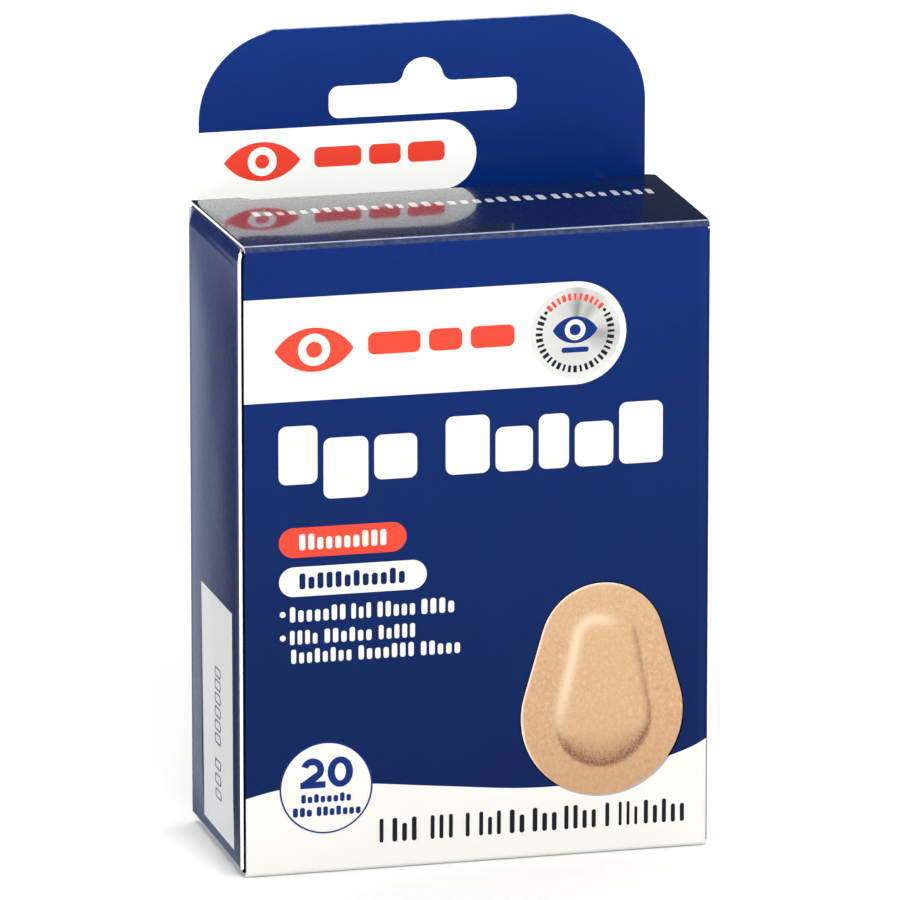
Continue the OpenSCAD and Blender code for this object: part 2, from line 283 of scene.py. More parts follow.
def tan_print():
    """The printed picture of one patch: mottled tan non-woven with a pad raised in its middle."""
    m = Mat("print_patch_picture")
    base = m.ramp(m.noise(1700, 3, 0.7, stretch=(1, 1, 0.75)), [(0.26, lin((176, 138, 103))), (0.5, lin((197, 160, 122))), (0.74, lin((214, 180, 143)))])
    base = m.mix(m.rng(m.noise(210, 2, 0.6), 0.35, 0.65, 0, 0.32), base, lin((204, 156, 120)))
    height = m.z()[2]
    base = m.mix(m.rng(height, 0.030, 0.045, 0, 0.34), base, lin((208, 180, 144)))
    base = m.mix(m.rng(height, 0.012, 0.026, 0.42, 0), base, lin((172, 134, 100)))
    dots = m.rng(m.voronoi(3000), 0.2, 0.55, 0, 1)
    base = m.mix(m.math("MULTIPLY", dots, 0.30), base, lin((176, 134, 100)))
    base = m.mix(m.attribute("pad_in"), base, m.mix(0.34, base, lin((202, 168, 128))))
    base = m.mix(m.attribute("pad_hi"), base, lin((224, 204, 176)))
    halftone = m.rng(m.noise(4500, 1, 0.5), 0.36, 0.62, 0.5, 1)
    base = m.mix(m.math("MULTIPLY", m.attribute("pad_lo"), halftone), base, lin((104, 62, 46)))
    base = m.mix(m.attribute("egg_rim"), base, lin((238, 220, 196)))
    m.link(base, m.b.inputs["Base Color"])
    m.link(m.rng(m.noise(900, 2, 0.6), 0.2, 0.8, 0.34, 0.5), m.b.inputs["Roughness"])
    m.put("IOR", 1.38)
    m.put("Specular IOR Level", 0.25)
    m.put("Coat Weight", 1.0)
    m.put("Coat IOR", 1.38)
    m.put("Coat Roughness", 0.035)
    peel = m.noise(420, 2, 0.5)
    m.bump(peel, 0.08, 0.00006)
    m.bump(peel, 0.05, 0.00006, "Coat Normal")
    return m.mat


def silver_print(cx, cz):
    """Silver ink: light and dark sectors painted round its centre, a painted reflection of the silver's sheen, fading
    to white at the rim.
    """
    m = Mat("print_silver")
    sep = m.z()
    dx, dz = m.math("SUBTRACT", sep[0], cx / 1000), m.math("SUBTRACT", sep[2], cz / 1000)
    turn = m.rng(m.math("ARCTAN2", dz, dx), -math.pi, math.pi, 0, 1)
    g = lambda v, w=0.985: (*[lin((v,) * 3)[0]] * 2, lin((v * w,) * 3)[0], 1)
    sheen = m.ramp(turn, [(0, g(226)), (0.22, g(220)), (0.36, g(222)), (0.44, g(190)), (0.49, g(160)), (0.54, g(206)), (0.60, g(222)), (0.655, g(176)), (0.70, g(200)), (0.735, g(140)), (0.79, g(206)), (0.88, g(222)), (1, g(226))])
    dist = m.math("MULTIPLY", m.math("SQRT", m.math("ADD", m.math("MULTIPLY", dx, dx), m.math("MULTIPLY", dz, dz))), 1000)
    rim = m.rng(dist, 4.6, 7.6, 0, 0.45)
    base = m.mix(rim, sheen, lin((248, 248, 244)))
    base = m.mix(m.rng(m.noise(3800, 1), 0.35, 0.65, 0, 0.12), base, lin((188, 190, 192)))
    m.link(base, m.b.inputs["Base Color"])
    m.link(m.rng(m.noise(900, 2), 0.2, 0.8, 0.3, 0.42), m.b.inputs["Roughness"])
    m.put("Metallic", 0.25)
    m.put("Coat Weight", 1.0)
    m.put("Coat IOR", 1.38)
    m.put("Coat Roughness", 0.035)
    m.bump(m.noise(420, 2), 0.05, 0.00006, "Coat Normal")
    return m.mat


def raw_board(name, colour, dark, edge=False):
    """Uncoated fibre: the board's inner face, or its cut edge."""
    m = Mat(name)
    fibres = m.noise(1500, 4, 0.65, stretch=(1, 1, 3) if not edge else None, distort=0.6)
    base = m.ramp(fibres, [(0.3, lin(dark)), (0.5, lin(colour)), (0.8, lin([min(255, c + 8) for c in colour]))])
    flecks = m.rng(m.voronoi(380), 0.0, 0.12, 1, 0)
    base = m.mix(m.math("MULTIPLY", flecks, 0.18 if not edge else 0.05), base, lin([c * 0.7 for c in colour]))
    m.link(base, m.b.inputs["Base Color"])
    m.link(m.rng(m.noise(800, 2), 0.2, 0.8, 0.82, 0.95), m.b.inputs["Roughness"])
    m.put("Specular IOR Level", 0.25)
    m.bump(m.math("ADD", fibres, m.noise(350, 3)), 0.35, 0.00004)
    return m.mat


inner = raw_board("board_inner_face", (216, 211, 200), (196, 190, 178))
edge = raw_board("board_cut_edge", (250, 249, 246), (232, 230, 226), edge=True)


# ------------------------------------------------------------------ flat shapes, in millimetres
def arc(cx, cz, r, a, b, n):
    return [(cx + r * math.cos(math.radians(a + (b - a) * i / n)), cz + r * math.sin(math.radians(a + (b - a) * i / n))) for i in range(n + 1)]


def disc(cx, cz, r, n=48):
    return arc(cx, cz, r, 0, 360, n)[:-1]


def rrect(x0, z0, x1, z1, r, n=6):
    r = min(r, (x1 - x0) / 2 - 1e-4, (z1 - z0) / 2 - 1e-4)
    return (arc(x0 + r, z0 + r, r, 180, 270, n) + arc(x1 - r, z0 + r, r, 270, 360, n)
            + arc(x1 - r, z1 - r, r, 0, 90, n) + arc(x0 + r, z1 - r, r, 90, 180, n))


def egg(w, h, r2, n=24, at=(0, 0)):
    r1 = w / 2
    t = math.degrees(math.asin((r1 - r2) / (h - r1 - r2)))
    return arc(at[0], at[1] + r1, r1, 180 - t, 360 + t, 2 * n) + arc(at[0], at[1] + h - r2, r2, t, 180 - t, n)


def hull(points):
    pts = sorted(set((round(x, 5), round(y, 5)) for x, y in points))
    def half(ps):
        out = []
        for p in ps:
            while len(out) > 1 and (out[-1][0] - out[-2][0]) * (p[1] - out[-2][1]) - (out[-1][1] - out[-2][1]) * (p[0] - out[-2][0]) <= 0:
                out.pop()
            out.append(p)
        return out[:-1]
    return half(pts) + half(pts[::-1])


def spline(pts, n=10):
    out = []
    p = [pts[0], *pts, pts[-1]]
    for i in range(1, len(p) - 2):
        for k in range(n):
            t = k / n
            out.append(tuple(0.5 * (2 * p[i][j] + (p[i + 1][j] - p[i - 1][j]) * t + (2 * p[i - 1][j] - 5 * p[i][j] + 4 * p[i + 1][j] - p[i + 2][j]) * t * t
                                    + (3 * p[i][j] - p[i - 1][j] - 3 * p[i + 1][j] + p[i + 2][j]) * t ** 3) for j in (0, 1)))
    return out + [tuple(pts[-1])]


def eye(cx, cz, w, h, n=14):
    """An almond outline: two arcs that meet in points."""
    r = (w * w / 4 + h * h / 4) / h
    a = math.degrees(math.asin(w / 2 / r))
    return arc(cx, cz - (r - h / 2), r, 90 - a, 90 + a, n)[:-1] + arc(cx, cz + (r - h / 2), r, 270 - a, 270 + a, n)[:-1]


PULSE = [0.0, 0.0, 0.36, 0.0, 0.0, 0.30, 0.0, 0.36, 0.0, 0.0, 0.0, 0.30, 0.0, 0.36, 0.0, 0.30]


def word(x0, z0, x1, z1, k=0, step=1.36, gap=0.5):
    """A run of plain rounded pips that stands for a printed word."""
    n = max(1, round((x1 - x0 + gap) / step))
    w = (x1 - x0 - gap * (n - 1)) / n
    if w > 1.25 * (step - gap):
        x0, w = (x0 + x1 - step + gap) / 2, step - gap
    h = z1 - z0
    out = []
    for i in range(n):
        x = x0 + i * (w + gap)
        up = PULSE[(i * 3 + k * 5) % 16]
        top = z1 - (0 if up or i == 0 else 0.24 * h)
        out.append(rrect(x, z0, x + w, top, 0.34 * w + 0.05, 3))
    return out


# ------------------------------------------------------------------ meshes
def in_poly(px, py, poly):
    inside = np.zeros(len(px), bool)
    n = len(poly)
    for i in range(n):
        x0, y0 = poly[i]
        x1, y1 = poly[(i + 1) % n]
        if y0 == y1:
            continue
        c = ((y0 > py) != (y1 > py)) & (px < (x1 - x0) * (py - y0) / (y1 - y0) + x0)
        inside ^= c
    return inside


def sdf(px, py, poly):
    """Signed distance to a closed outline, negative inside, and the direction away from its nearest point."""
    best, nx, ny = np.full(len(px), 1e9), np.zeros(len(px)), np.zeros(len(px))
    n = len(poly)
    for i in range(n):
        x0, y0 = poly[i]
        dx, dy = poly[(i + 1) % n][0] - x0, poly[(i + 1) % n][1] - y0
        t = np.clip(((px - x0) * dx + (py - y0) * dy) / (dx * dx + dy * dy + 1e-12), 0, 1)
        qx, qy = px - (x0 + t * dx), py - (y0 + t * dy)
        d = np.hypot(qx, qy)
        m = d < best
        best[m], nx[m], ny[m] = d[m], qx[m], qy[m]
    ins = in_poly(px, py, poly)
    s = np.where(ins, -1.0, 1.0)
    l = np.maximum(best, 1e-9)
    return best * s, nx / l * s, ny / l * s


class Plan:
    """A flat layout cut into triangles along its printed shapes. Each triangle knows which shapes cover it."""

    def __init__(self, outline, holes=(), shapes=(), lines=(), grid=3.0, points=(), grid_box=None):
        verts, edges, faces = [], [], []

        def add(poly):
            if sum(poly[i - 1][0] * poly[i][1] - poly[i][0] * poly[i - 1][1] for i in range(len(poly))) < 0:
                poly = poly[::-1]
            base = len(verts)
            verts.extend(Vector(p) for p in poly)
            faces.append(list(range(base, base + len(poly))))
            return len(faces) - 1

        out = add(outline)
        hole_ids = [add(h) for h in holes]
        shape_ids = {}
        for key, polys in shapes:
            for poly in polys:
                shape_ids[add(poly)] = key
        for a, b in lines:
            verts.extend((Vector(a), Vector(b)))
            edges.append((len(verts) - 2, len(verts) - 1))
        o = np.array(outline)
        lo, hi = o.min(0), o.max(0)
        if grid:
            gx = np.linspace(lo[0], hi[0], max(2, round((hi[0] - lo[0]) / grid)) + 1)[1:-1]
            gy = np.linspace(lo[1], hi[1], max(2, round((hi[1] - lo[1]) / grid)) + 1)[1:-1]
            for j, y in enumerate(gy):
                verts.extend(Vector((x, y)) for x in gx)
        verts.extend(Vector(p) for p in points)
        v, e, f, ov, oe, of = delaunay_2d_cdt(verts, edges, faces, 0, 1e-4, True)
        tris, cover = [], []
        for tri, ids in zip(f, of):
            ids = set(ids)
            if out not in ids or any(h in ids for h in hole_ids):
                continue
            a, b, c = (v[i] for i in tri)
            if abs((b - a).cross(c - a)) < 1e-9:
                continue
            if (b - a).cross(c - a) < 0:
                tri = [tri[0], tri[2], tri[1]]
            tris.append(tri)
            cover.append({shape_ids[i] for i in ids if i in shape_ids})
        used = sorted({i for t in tris for i in t})
        back = {i: k for k, i in enumerate(used)}
        self.uv = np.array([tuple(v[i]) for i in used], float)
        self.tris = np.array([[back[i] for i in t] for t in tris], int)
        self.cover = cover
        count = {}
        for t in self.tris:
            for a, b in ((t[0], t[1]), (t[1], t[2]), (t[2], t[0])):
                count[(a, b)] = count.get((a, b), 0) + 1
        self.rim = [(a, b) for (a, b) in count if (b, a) not in count]


def surface(fn, uv, sign):
    """Points and outward normals of the surface fn(u, v) at uv."""
    u, v = uv[:, 0], uv[:, 1]
    e = 2e-3
    p = fn(u, v)
    du = fn(u + e, v) - fn(u - e, v)
    dv = fn(u, v + e) - fn(u, v - e)
    n = np.cross(du, dv) * sign
    n /= np.linalg.norm(n, axis=1)[:, None] + 1e-12
    return p, n


def new_object(name, verts, faces, mats, face_mats, normals=None, attributes=None, smooth=True):
    mesh = bpy.data.meshes.new(name)
    mesh.from_pydata((np.asarray(verts) / 1000).tolist(), [], faces)
    for m in mats:
        mesh.materials.append(m)
    mesh.polygons.foreach_set("material_index", np.asarray(face_mats, np.int32))
    mesh.polygons.foreach_set("use_smooth", np.full(len(faces), smooth))
    for key, values in (attributes or {}).items():
        mesh.attributes.new(key, "FLOAT", "POINT").data.foreach_set("value", np.asarray(values, np.float32))
    mesh.update()
    if normals is not None:
        mesh.normals_split_custom_set(normals.tolist())
    obj = bpy.data.objects.new(name, mesh)
    bpy.context.scene.collection.objects.link(obj)
    return obj


def sheet_arrays(plan, fn, sign, thick, pick, mat_inner, mat_edge):
    """The closed solid over a plan: outer face, inner face and cut edge, with its corner normals."""
    p, n = surface(fn, plan.uv, sign)
    t = thick(plan.uv[:, 0], plan.uv[:, 1])[:, None] if callable(thick) else thick
    q = p - n * t
    k = len(p)
    tris = plan.tris if sign > 0 else plan.tris[:, [0, 2, 1]]
    # the corners of tris run so that the outer face looks out
    verts = np.vstack([p, q])
    faces = [list(map(int, a)) for a in tris] + [list(map(int, a)) for a in (tris[:, [0, 2, 1]] + k)]
    mats = [pick(c) for c in plan.cover] + [mat_inner] * len(tris)
    corner = [n[tris.ravel()], -n[tris[:, [0, 2, 1]].ravel()]]
    walls = []
    for a, b in plan.rim:
        if sign < 0:
            a, b = b, a
        faces.append([int(a), int(a + k), int(b + k), int(b)])
        mats.append(mat_edge)
        w = np.cross(q[a] - p[a], p[b] - p[a])
        w = w / (np.linalg.norm(w) + 1e-12)
        walls.append(np.tile(w, (4, 1)))
    if walls:
        corner.append(np.vstack(walls))
    return verts, faces, mats, np.vstack(corner)


class Palette:
    def __init__(self):
        self.list = []

    def __call__(self, mat):
        if mat not in self.list:
            self.list.append(mat)
        return self.list.index(mat)


def board(name, plan, fn, sign, rules, body, node, extra=(), thick=BOARD, ground=None, attributes=None):
    """One panel of the carton. rules: (shape name, material) from lowest to topmost; extra: more closed strips in the same piece."""
    pal = Palette()
    ground = ground or navy
    table = [(key, pal(m)) for key, m in rules]
    base = pal(ground)

    def pick(cover):
        got = base
        for key, m in table:
            if key in cover if isinstance(key, str) else set(key) <= cover:
                got = m
        return got

    v, f, m, c = sheet_arrays(plan, fn, sign, thick, pick, pal(inner), pal(edge))
    attr = {k: np.concatenate([w, w]) for k, w in (attributes or {}).items()}
    if extra:
        attr["fold_s"] = np.full(len(v), -1.0)
    for ev, ef, em, ec, es in extra:
        k = len(v)
        f = f + [[i + k for i in face] for face in ef]
        m = m + [pal(x) for x in em]
        v = np.vstack([v, ev])
        c = np.vstack([c, ec])
        attr = {a: np.concatenate([w, es if a == "fold_s" else np.zeros(len(ev))]) for a, w in attr.items()}
    o = new_object(name, v, f, pal.list, m, c, attr)
    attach(o, body)
    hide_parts(node)
    return o


def fold(outer, innr, a0, a1, axis, mat, steps=24, taper=None, shift=None):
    """A closed strip along x or y: outer and innr are matching profile points (other axis, z); a0..a1 its ends.
    taper(s) moves the ends in and shift(a, s) moves points sideways, s running 0..1 along the profile."""
    k = len(outer)
    rings = []
    for i in range(steps + 1):
        t = i / steps
        ring = []
        for prof in (outer, innr):
            for j, (h, z) in enumerate(prof):
                s = j / (k - 1)
                lo, hi = (a0, a1) if taper is None else taper(s)
                a = lo + (hi - lo) * t
                h = h + (shift(a, s) if shift else 0)
                ring.append((a, h, z) if axis == "x" else (h, a, z))
        rings.append(ring)
    verts = np.array([p for r in rings for p in r], float)
    across = np.tile(np.concatenate([np.arange(k) / (k - 1)] * 2), steps + 1)
    faces, mats, corner = [], [], []
    w = 2 * k

    def prof_normal(prof, j, flip):
        a, b = prof[max(0, j - 1)], prof[min(k - 1, j + 1)]
        d = (b[0] - a[0], b[1] - a[1])
        l = math.hypot(*d) or 1
        n = (-d[1] / l, d[0] / l)
        return (n[0] * flip, n[1] * flip)

    # which way is out: away from the inner profile
    mid = k // 2
    n = prof_normal(outer, mid, 1)
    out = 1 if n[0] * (outer[mid][0] - innr[mid][0]) + n[1] * (outer[mid][1] - innr[mid][1]) > 0 else -1

    def vec(n2):
        return (0, n2[0], n2[1]) if axis == "x" else (n2[0], 0, n2[1])

    def add(face, mat_i, normals):
        a, b, c = (verts[i] for i in face[:3])
        g = np.cross(b - a, c - a)
        want = np.mean(normals, axis=0)
        if np.dot(g, want) < 0:
            face, normals = face[::-1], normals[::-1]
        faces.append(face)
        mats.append(mat_i)
        corner.extend(normals)

    for i in range(steps):
        b0, b1 = i * w, (i + 1) * w
        for j in range(k - 1):
            no0, no1 = vec(prof_normal(outer, j, out)), vec(prof_normal(outer, j + 1, out))
            add([b0 + j, b1 + j, b1 + j + 1, b0 + j + 1], mat, [no0, no0, no1, no1])
            ni0, ni1 = vec(prof_normal(innr, j, -out)), vec(prof_normal(innr, j + 1, -out))
            add([b0 + k + j, b1 + k + j, b1 + k + j + 1, b0 + k + j + 1], inner, [ni0, ni0, ni1, ni1])
        for j, side in ((0, -1), (k - 1, 1)):
            d = vec((outer[j][0] - outer[min(max(j - side, 0), k - 1)][0], outer[j][1] - outer[min(max(j - side, 0), k - 1)][1]))
            add([b0 + j, b1 + j, b1 + k + j, b0 + k + j], edge, [d] * 4)
    for i, way in ((0, -1), (steps, 1)):
        b = i * w
        d = (way, 0, 0) if axis == "x" else (0, way, 0)
        for j in range(k - 1):
            add([b + j, b + j + 1, b + k + j + 1, b + k + j], edge, [d] * 4)
    corner = np.array(corner, float)
    corner /= np.linalg.norm(corner, axis=1)[:, None] + 1e-12
    return verts, faces, mats, corner, across


def quarter(c, r, a, b, n=10):
    return arc(c[0], c[1], r, a, b, n)


def crease(name, arrays):
    """A fold strip as an object of its own, attached to no body."""
    pal = Palette()
    v, f, m, c, across = arrays
    idx = [pal(x) for x in m]
    o = new_object(name, v, f, pal.list, idx, attributes={"fold_s": across})
    mesh = o.data
    # print, raw face and cut edge keep hard borders between them
    face_kind = {}
    for p in mesh.polygons:
        for e in p.edge_keys:
            face_kind.setdefault(e, set()).add(p.material_index)
    sharp = [len(face_kind.get(tuple(e.key), ())) > 1 for e in mesh.edges]
    mesh.attributes.new("sharp_edge", "BOOLEAN", "EDGE").data.foreach_set("value", sharp)
    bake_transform(o)
    return o


# ------------------------------------------------------------------ artwork
def art(poly):
    """From the carton's own face measures (x from its left side) to the frame."""
    return [(x - XO, z) for x, z in poly]


swoosh_line = spline([(-2, 13.0), (0.4, 13.4), (6.5, 14.7), (14, 15.3), (22.4, 14.7), (34.7, 13.4), (49, 12.1), (60, 12.7), (74, 16.3), (79.4, 18.6), (82, 19.8)])
swoosh = [(-2, -2), (82, -2)] + swoosh_line[::-1]
banner = [(-3, 80.1)] + arc(56.4, 88.75, 8.65, -90, 90, 28) + [(-3, 97.4)]
title = [rrect(6.6, 66.2, 13.1, 76.0, 1.3), rrect(14.1, 63.5, 21.6, 73.7, 1.3), rrect(22.6, 66.2, 29.8, 73.7, 1.3), rrect(34.6, 66.2, 42.0, 76.0, 1.3),
         rrect(43.0, 66.2, 49.3, 73.7, 1.3), rrect(50.3, 66.2, 55.4, 75.4, 1.3), rrect(56.4, 66.2, 62.9, 73.7, 1.3), rrect(63.9, 66.2, 71.3, 76.6, 1.3)]
words = [disc(7.2, 44.4, 0.5, 14)]
for k, (a, b) in enumerate([(8.4, 17.7), (18.7, 22.0), (23.1, 29.4), (30.5, 36.0)]):
    words += word(a, 43.0, b, 45.6, k)
words += [disc(7.2, 40.4, 0.5, 14)]
for k, (a, b) in enumerate([(8.4, 13.0), (14.2, 22.1), (23.3, 29.4)]):
    words += word(a, 39.2, b, 41.6, k + 3)
for k, (a, b) in enumerate([(8.6, 18.7), (19.9, 29.2), (30.4, 37.0)]):
    words += word(a, 36.0, b, 38.4, k + 6)
size_line = []
for k, (a, b) in enumerate([(23.1, 24.4), (25.6, 29.7), (31.0, 33.8), (34.8, 36.2), (37.7, 39.0), (40.3, 44.0), (45.5, 48.0), (49.4, 53.5), (54.8, 60.2), (61.5, 62.8), (64.1, 67.3), (68.4, 75.3)]):
    size_line += word(a, 4.5, b, 8.6, k, step=1.5, gap=0.82)
brand_front = [eye(12.6, 88.6, 13.2, 7.4)]
brand_bars = [rrect(21.6, 87.2, 30.4, 90.9, 1.1), rrect(31.8, 87.2, 37.4, 90.9, 1.1), rrect(38.8, 87.2, 46.2, 90.9, 1.1)]
seal_c = (56.4, 88.8)
ticks_red, ticks_ink = [], []
for i in range(40):
    a = 90 + 360 * i / 40
    ca, sa = math.cos(math.radians(a)), math.sin(math.radians(a))
    wide = 0.20 + 0.05 * ((i * 7) % 3)
    quad = [(seal_c[0] + ca * r - sa * w, seal_c[1] + sa * r + ca * w) for r, w in ((5.5, -wide), (6.65, -wide), (6.65, wide), (5.5, wide))]
    turn = (a - 90 + 180) % 360 - 180
    if 46 < abs(turn) < 57:
        ticks_ink.append(disc(seal_c[0] + ca * 6.1, seal_c[1] + sa * 6.1, 0.3, 12))
    elif abs(turn) < 46:
        ticks_red.append(quad)
    elif abs(turn) > 60:
        ticks_ink.append(quad)
two = [arc(12.1, 17.75, 1.98, 160, -38, 16) + arc(12.1, 17.75, 0.82, -38, 160, 10),
       [(13.72, 16.62), (12.72, 17.3), (10.05, 15.5), (10.05, 14.7), (11.9, 15.1)], rrect(10.05, 14.6, 14.3, 15.72, 0.08, 2)]
zero_out = [(16.8 + 2.15 * math.cos(t), 17.15 + 2.6 * math.sin(t)) for t in np.linspace(0, 2 * math.pi, 33)[:-1]]
zero_in = [(16.8 + 0.92 * math.cos(t), 17.15 + 1.5 * math.sin(t)) for t in np.linspace(0, 2 * math.pi, 25)[:-1]]
patch_axis = (61.15, 10.1)
printed_egg = egg(27.6, 36.2, 10.5, at=patch_axis)
printed_pad = hull(disc(60.2, 36.8, 4.2) + disc(63.4, 37.0, 3.6) + disc(61.3, 23.2, 8.2) + disc(61.3, 23.6, 8.2))
egg_line = egg(28.0, 36.6, 10.7, at=(patch_axis[0] + 0.03, patch_axis[1] - 0.2))

front_shapes = [
    ("swoosh", [art(swoosh)]), ("banner", [art(banner)]), ("brand", [art(p) for p in brand_front + brand_bars]),
    ("brand_hole", [art(disc(12.6, 88.6, 2.7, 28))]), ("brand_pupil", [art(disc(12.6, 88.6, 1.35, 20))]),
    ("seal", [art(disc(*seal_c, 7.65, 64))]), ("ticks_red", [art(p) for p in ticks_red]), ("ticks_ink", [art(p) for p in ticks_ink]),
    ("icon", [art(eye(seal_c[0], seal_c[1] + 0.5, 7.6, 4.5)), art(rrect(seal_c[0] - 2.3, seal_c[1] - 3.3, seal_c[0] + 2.3, seal_c[1] - 2.4, 0.4))]),
    ("icon_hole", [art(disc(seal_c[0], seal_c[1] + 0.5, 1.75, 24))]), ("icon_pupil", [art(disc(seal_c[0], seal_c[1] + 0.5, 0.95, 18))]),
    ("title", [art(p) for p in title]),
    ("pill_red", [art(rrect(6.6, 53.9, 28.0, 58.9, 2.5, 12))]), ("pill_white", [art(rrect(6.6, 47.3, 31.4, 52.3, 2.5, 12))]),
    ("pill_bar_w", [art(p) for p in word(10.0, 55.1, 24.6, 57.8, 2, 1.5)]), ("pill_bar_n", [art(p) for p in word(10.0, 48.5, 27.7, 51.2, 5, 1.5)]),
    ("words", [art(p) for p in words]),
    ("badge_ring", [art(disc(14.4, 14.6, 7.85, 72))]), ("badge", [art(disc(14.4, 14.6, 7.55, 72))]),
    ("numeral", [art(p) for p in two] + [art(zero_out)]), ("numeral_hole", [art(zero_in)]),
    ("badge_words", [art(p) for p in word(10.2, 12.1, 18.6, 13.6, 1, 1.1, 0.3) + word(8.8, 9.8, 12.0, 11.4, 2, 1.1, 0.3) + word(12.8, 9.8, 20.2, 11.4, 4, 1.1, 0.3)]),
    ("size", [art(p) for p in size_line]),
    ("egg_shadow", [art(egg_line), [(x + 0.22, z - 0.28) for x, z in art(printed_egg)]]), ("egg", [art(printed_egg)]),
    # groove: near-black strips on the front's two side folds, painted shade in the gaps beside the side panels
    ("groove", [[(-41.5, -1), (XF0 + 0.42, -1), (XF0 + 0.42, 110), (-41.5, 110)], [(XO - 0.25, -1), (41.5, -1), (41.5, 110), (XO - 0.25, 110)]]),
    ("rubbed", [[(XO - 1.9, -1), (XO - 0.75, -1), (XO - 0.75, 110), (XO - 1.9, 110)]]),
]
silver = silver_print(seal_c[0] - XO, seal_c[1])
patch_picture = tan_print()
front_rules = [
    ("rubbed", navy_edge), ("swoosh", white), ("banner", white), ("brand", red), ("brand_hole", white), ("brand_pupil", red), ("seal", silver),
    ("ticks_red", red), ("ticks_ink", ink), ("icon", blue_ink), ("icon_hole", white), ("icon_pupil", blue_ink), ("title", white),
    ("pill_red", red), ("pill_white", white), ("pill_bar_w", white), ("pill_bar_n", navy), ("words", white),
    ("badge_ring", blue_ink), ("badge", white), ("numeral", blue_ink), ("numeral_hole", white), ("badge_words", blue_ink), ("size", ink),
    ("egg_shadow", navy_dark), (("egg_shadow", "swoosh"), grey_shadow), ("egg", patch_picture),
    # the grooves get painted shade
    ("groove", navy_dark),
]


# ------------------------------------------------------------------ front panel
CR = 1.1                       # outer radius of the lid's front fold
Z_F0, Z_F1 = 0.9, H - CR       # the flat of the front, between its folds
ARC = FOLD * math.pi / 2


def smooth01(t):
    t = np.clip(t, 0, 1)
    return t * t * (3 - 2 * t)


def waves(u, v, k=0.0):
    """Slow unevenness of a pasted board, in millimetres."""
    return (0.5 * np.sin(u * 0.11 + v * 0.047 + k) + 0.3 * np.sin(v * 0.13 - u * 0.061 + 1.7 * k + 1) + 0.2 * np.sin(u * 0.23 + 2.1 * k) * np.sin(v * 0.19 + k))


def front_fn(u, v):
    ul, ur = XF0 + FOLD, XO - FOLD
    tl = np.clip((ul - u) / FOLD, 0, None)
    tr = np.clip((u - ur) / FOLD, 0, None)
    x = np.where(u < ul, ul - FOLD * np.sin(np.minimum(tl, math.pi / 2)), np.where(u > ur, ur + FOLD * np.sin(np.minimum(tr, math.pi / 2)), u))
    y = np.where(u < ul, -YO + FOLD * (1 - np.cos(np.minimum(tl, math.pi / 2))), np.where(u > ur, -YO + FOLD * (1 - np.cos(np.minimum(tr, math.pi / 2))), -YO))
    y = y + np.clip(tl - math.pi / 2, 0, None) * FOLD + np.clip(tr - math.pi / 2, 0, None) * FOLD
    su, sv = np.clip((u - ul) / (ur - ul), 0, 1), np.clip((v - Z_F0) / (Z_F1 - Z_F0), 0, 1)
    fade = 16 * su * (1 - su) * sv * (1 - sv)
    swell = 0.22 * np.sqrt(np.clip(fade, 0, 1)) * np.clip(fade * 4, 0, 1) + 0.05 * fade * waves(u, v, 0.4)
    return np.stack([x, y - swell, v + 0 * u], 1)


UF0, UF1 = XF0 + FOLD - ARC, XO - FOLD + ARC
front_outline = [(UF0, Z_F0), (UF1, Z_F0), (UF1, Z_F1 - 0.1), (XO - 0.2, Z_F1), (XF0 + 0.72, Z_F1), (XF0 + 0.55, Z_F1 - 1.0), (UF0, Z_F1 - 1.5)]
lines = []
for i in range(1, 9):
    lines.append(((XF0 + FOLD - ARC * i / 8, Z_F0 - 1), (XF0 + FOLD - ARC * i / 8, Z_F1 + 1)))
    lines.append(((XO - FOLD + ARC * i / 8, Z_F0 - 1), (XO - FOLD + ARC * i / 8, Z_F1 + 1)))
for u in (XF0 + FOLD, XO - FOLD):
    lines.append(((u, Z_F0 - 1), (u, Z_F1 + 1)))
fine = [(x - XO, z) for x in np.arange(47, 75.4, 0.36) for z in np.arange(10, 46.6, 0.36)]
fa = np.array(fine)
d_egg, _, _ = sdf(fa[:, 0], fa[:, 1], art(printed_egg))
fine = [tuple(p) for p in fa[d_egg < -0.1]]
front_plan = Plan(front_outline, (), front_shapes, lines, 3.2, fine)
px, pz = front_plan.uv[:, 0], front_plan.uv[:, 1]
d_pad, nx, nz = sdf(px, pz, art(printed_pad))
d_egg, ex, ez = sdf(px, pz, art(printed_egg))
lit = -0.52 * nx + 0.85 * nz
in_egg = d_egg < 0.3
hi_side = smooth01((-nx - 0.15) / 0.5) * smooth01((pz - 19) / 9)
hi_top = smooth01((nz - 0.3) / 0.5) * smooth01((25.0 - px) / 4.2)
pad_hi = np.where(in_egg, np.clip(hi_side + hi_top, 0, 1) * np.exp(-((d_pad + 0.85) / 0.95) ** 2), 0)
low = smooth01((-nz - 0.05) / 0.6) + 0.8 * smooth01((nx - 0.2) / 0.6) * smooth01((39.4 - pz) / 2.2) * (0.7 + 0.3 * smooth01((29 - pz) / 8))
low = np.clip(low, 0, 1)
deep = 0.5 + 2.1 * smooth01((-nz - 0.1) / 0.8)
pad_lo = np.where(in_egg, low * np.where(d_pad > -0.2, np.exp(-((d_pad + 0.2) / 0.36) ** 2), np.exp(-(np.abs(d_pad + 0.2) / deep) ** 1.5)), 0)
pad_in = np.where(in_egg, smooth01(-d_pad / 2.0), 0)
rim_lit = -0.8 * ex + 0.6 * ez
egg_rim = np.where(in_egg, smooth01(rim_lit * 1.5) * smooth01((d_egg + 0.42) / 0.32) * 0.9, 0)
front = board("front_panel_print", front_plan, front_fn, 1, front_rules, "carton", "front_panel",
              attributes={"pad_hi": pad_hi * 0.72, "pad_lo": pad_lo * 0.95, "pad_in": pad_in, "egg_rim": egg_rim})


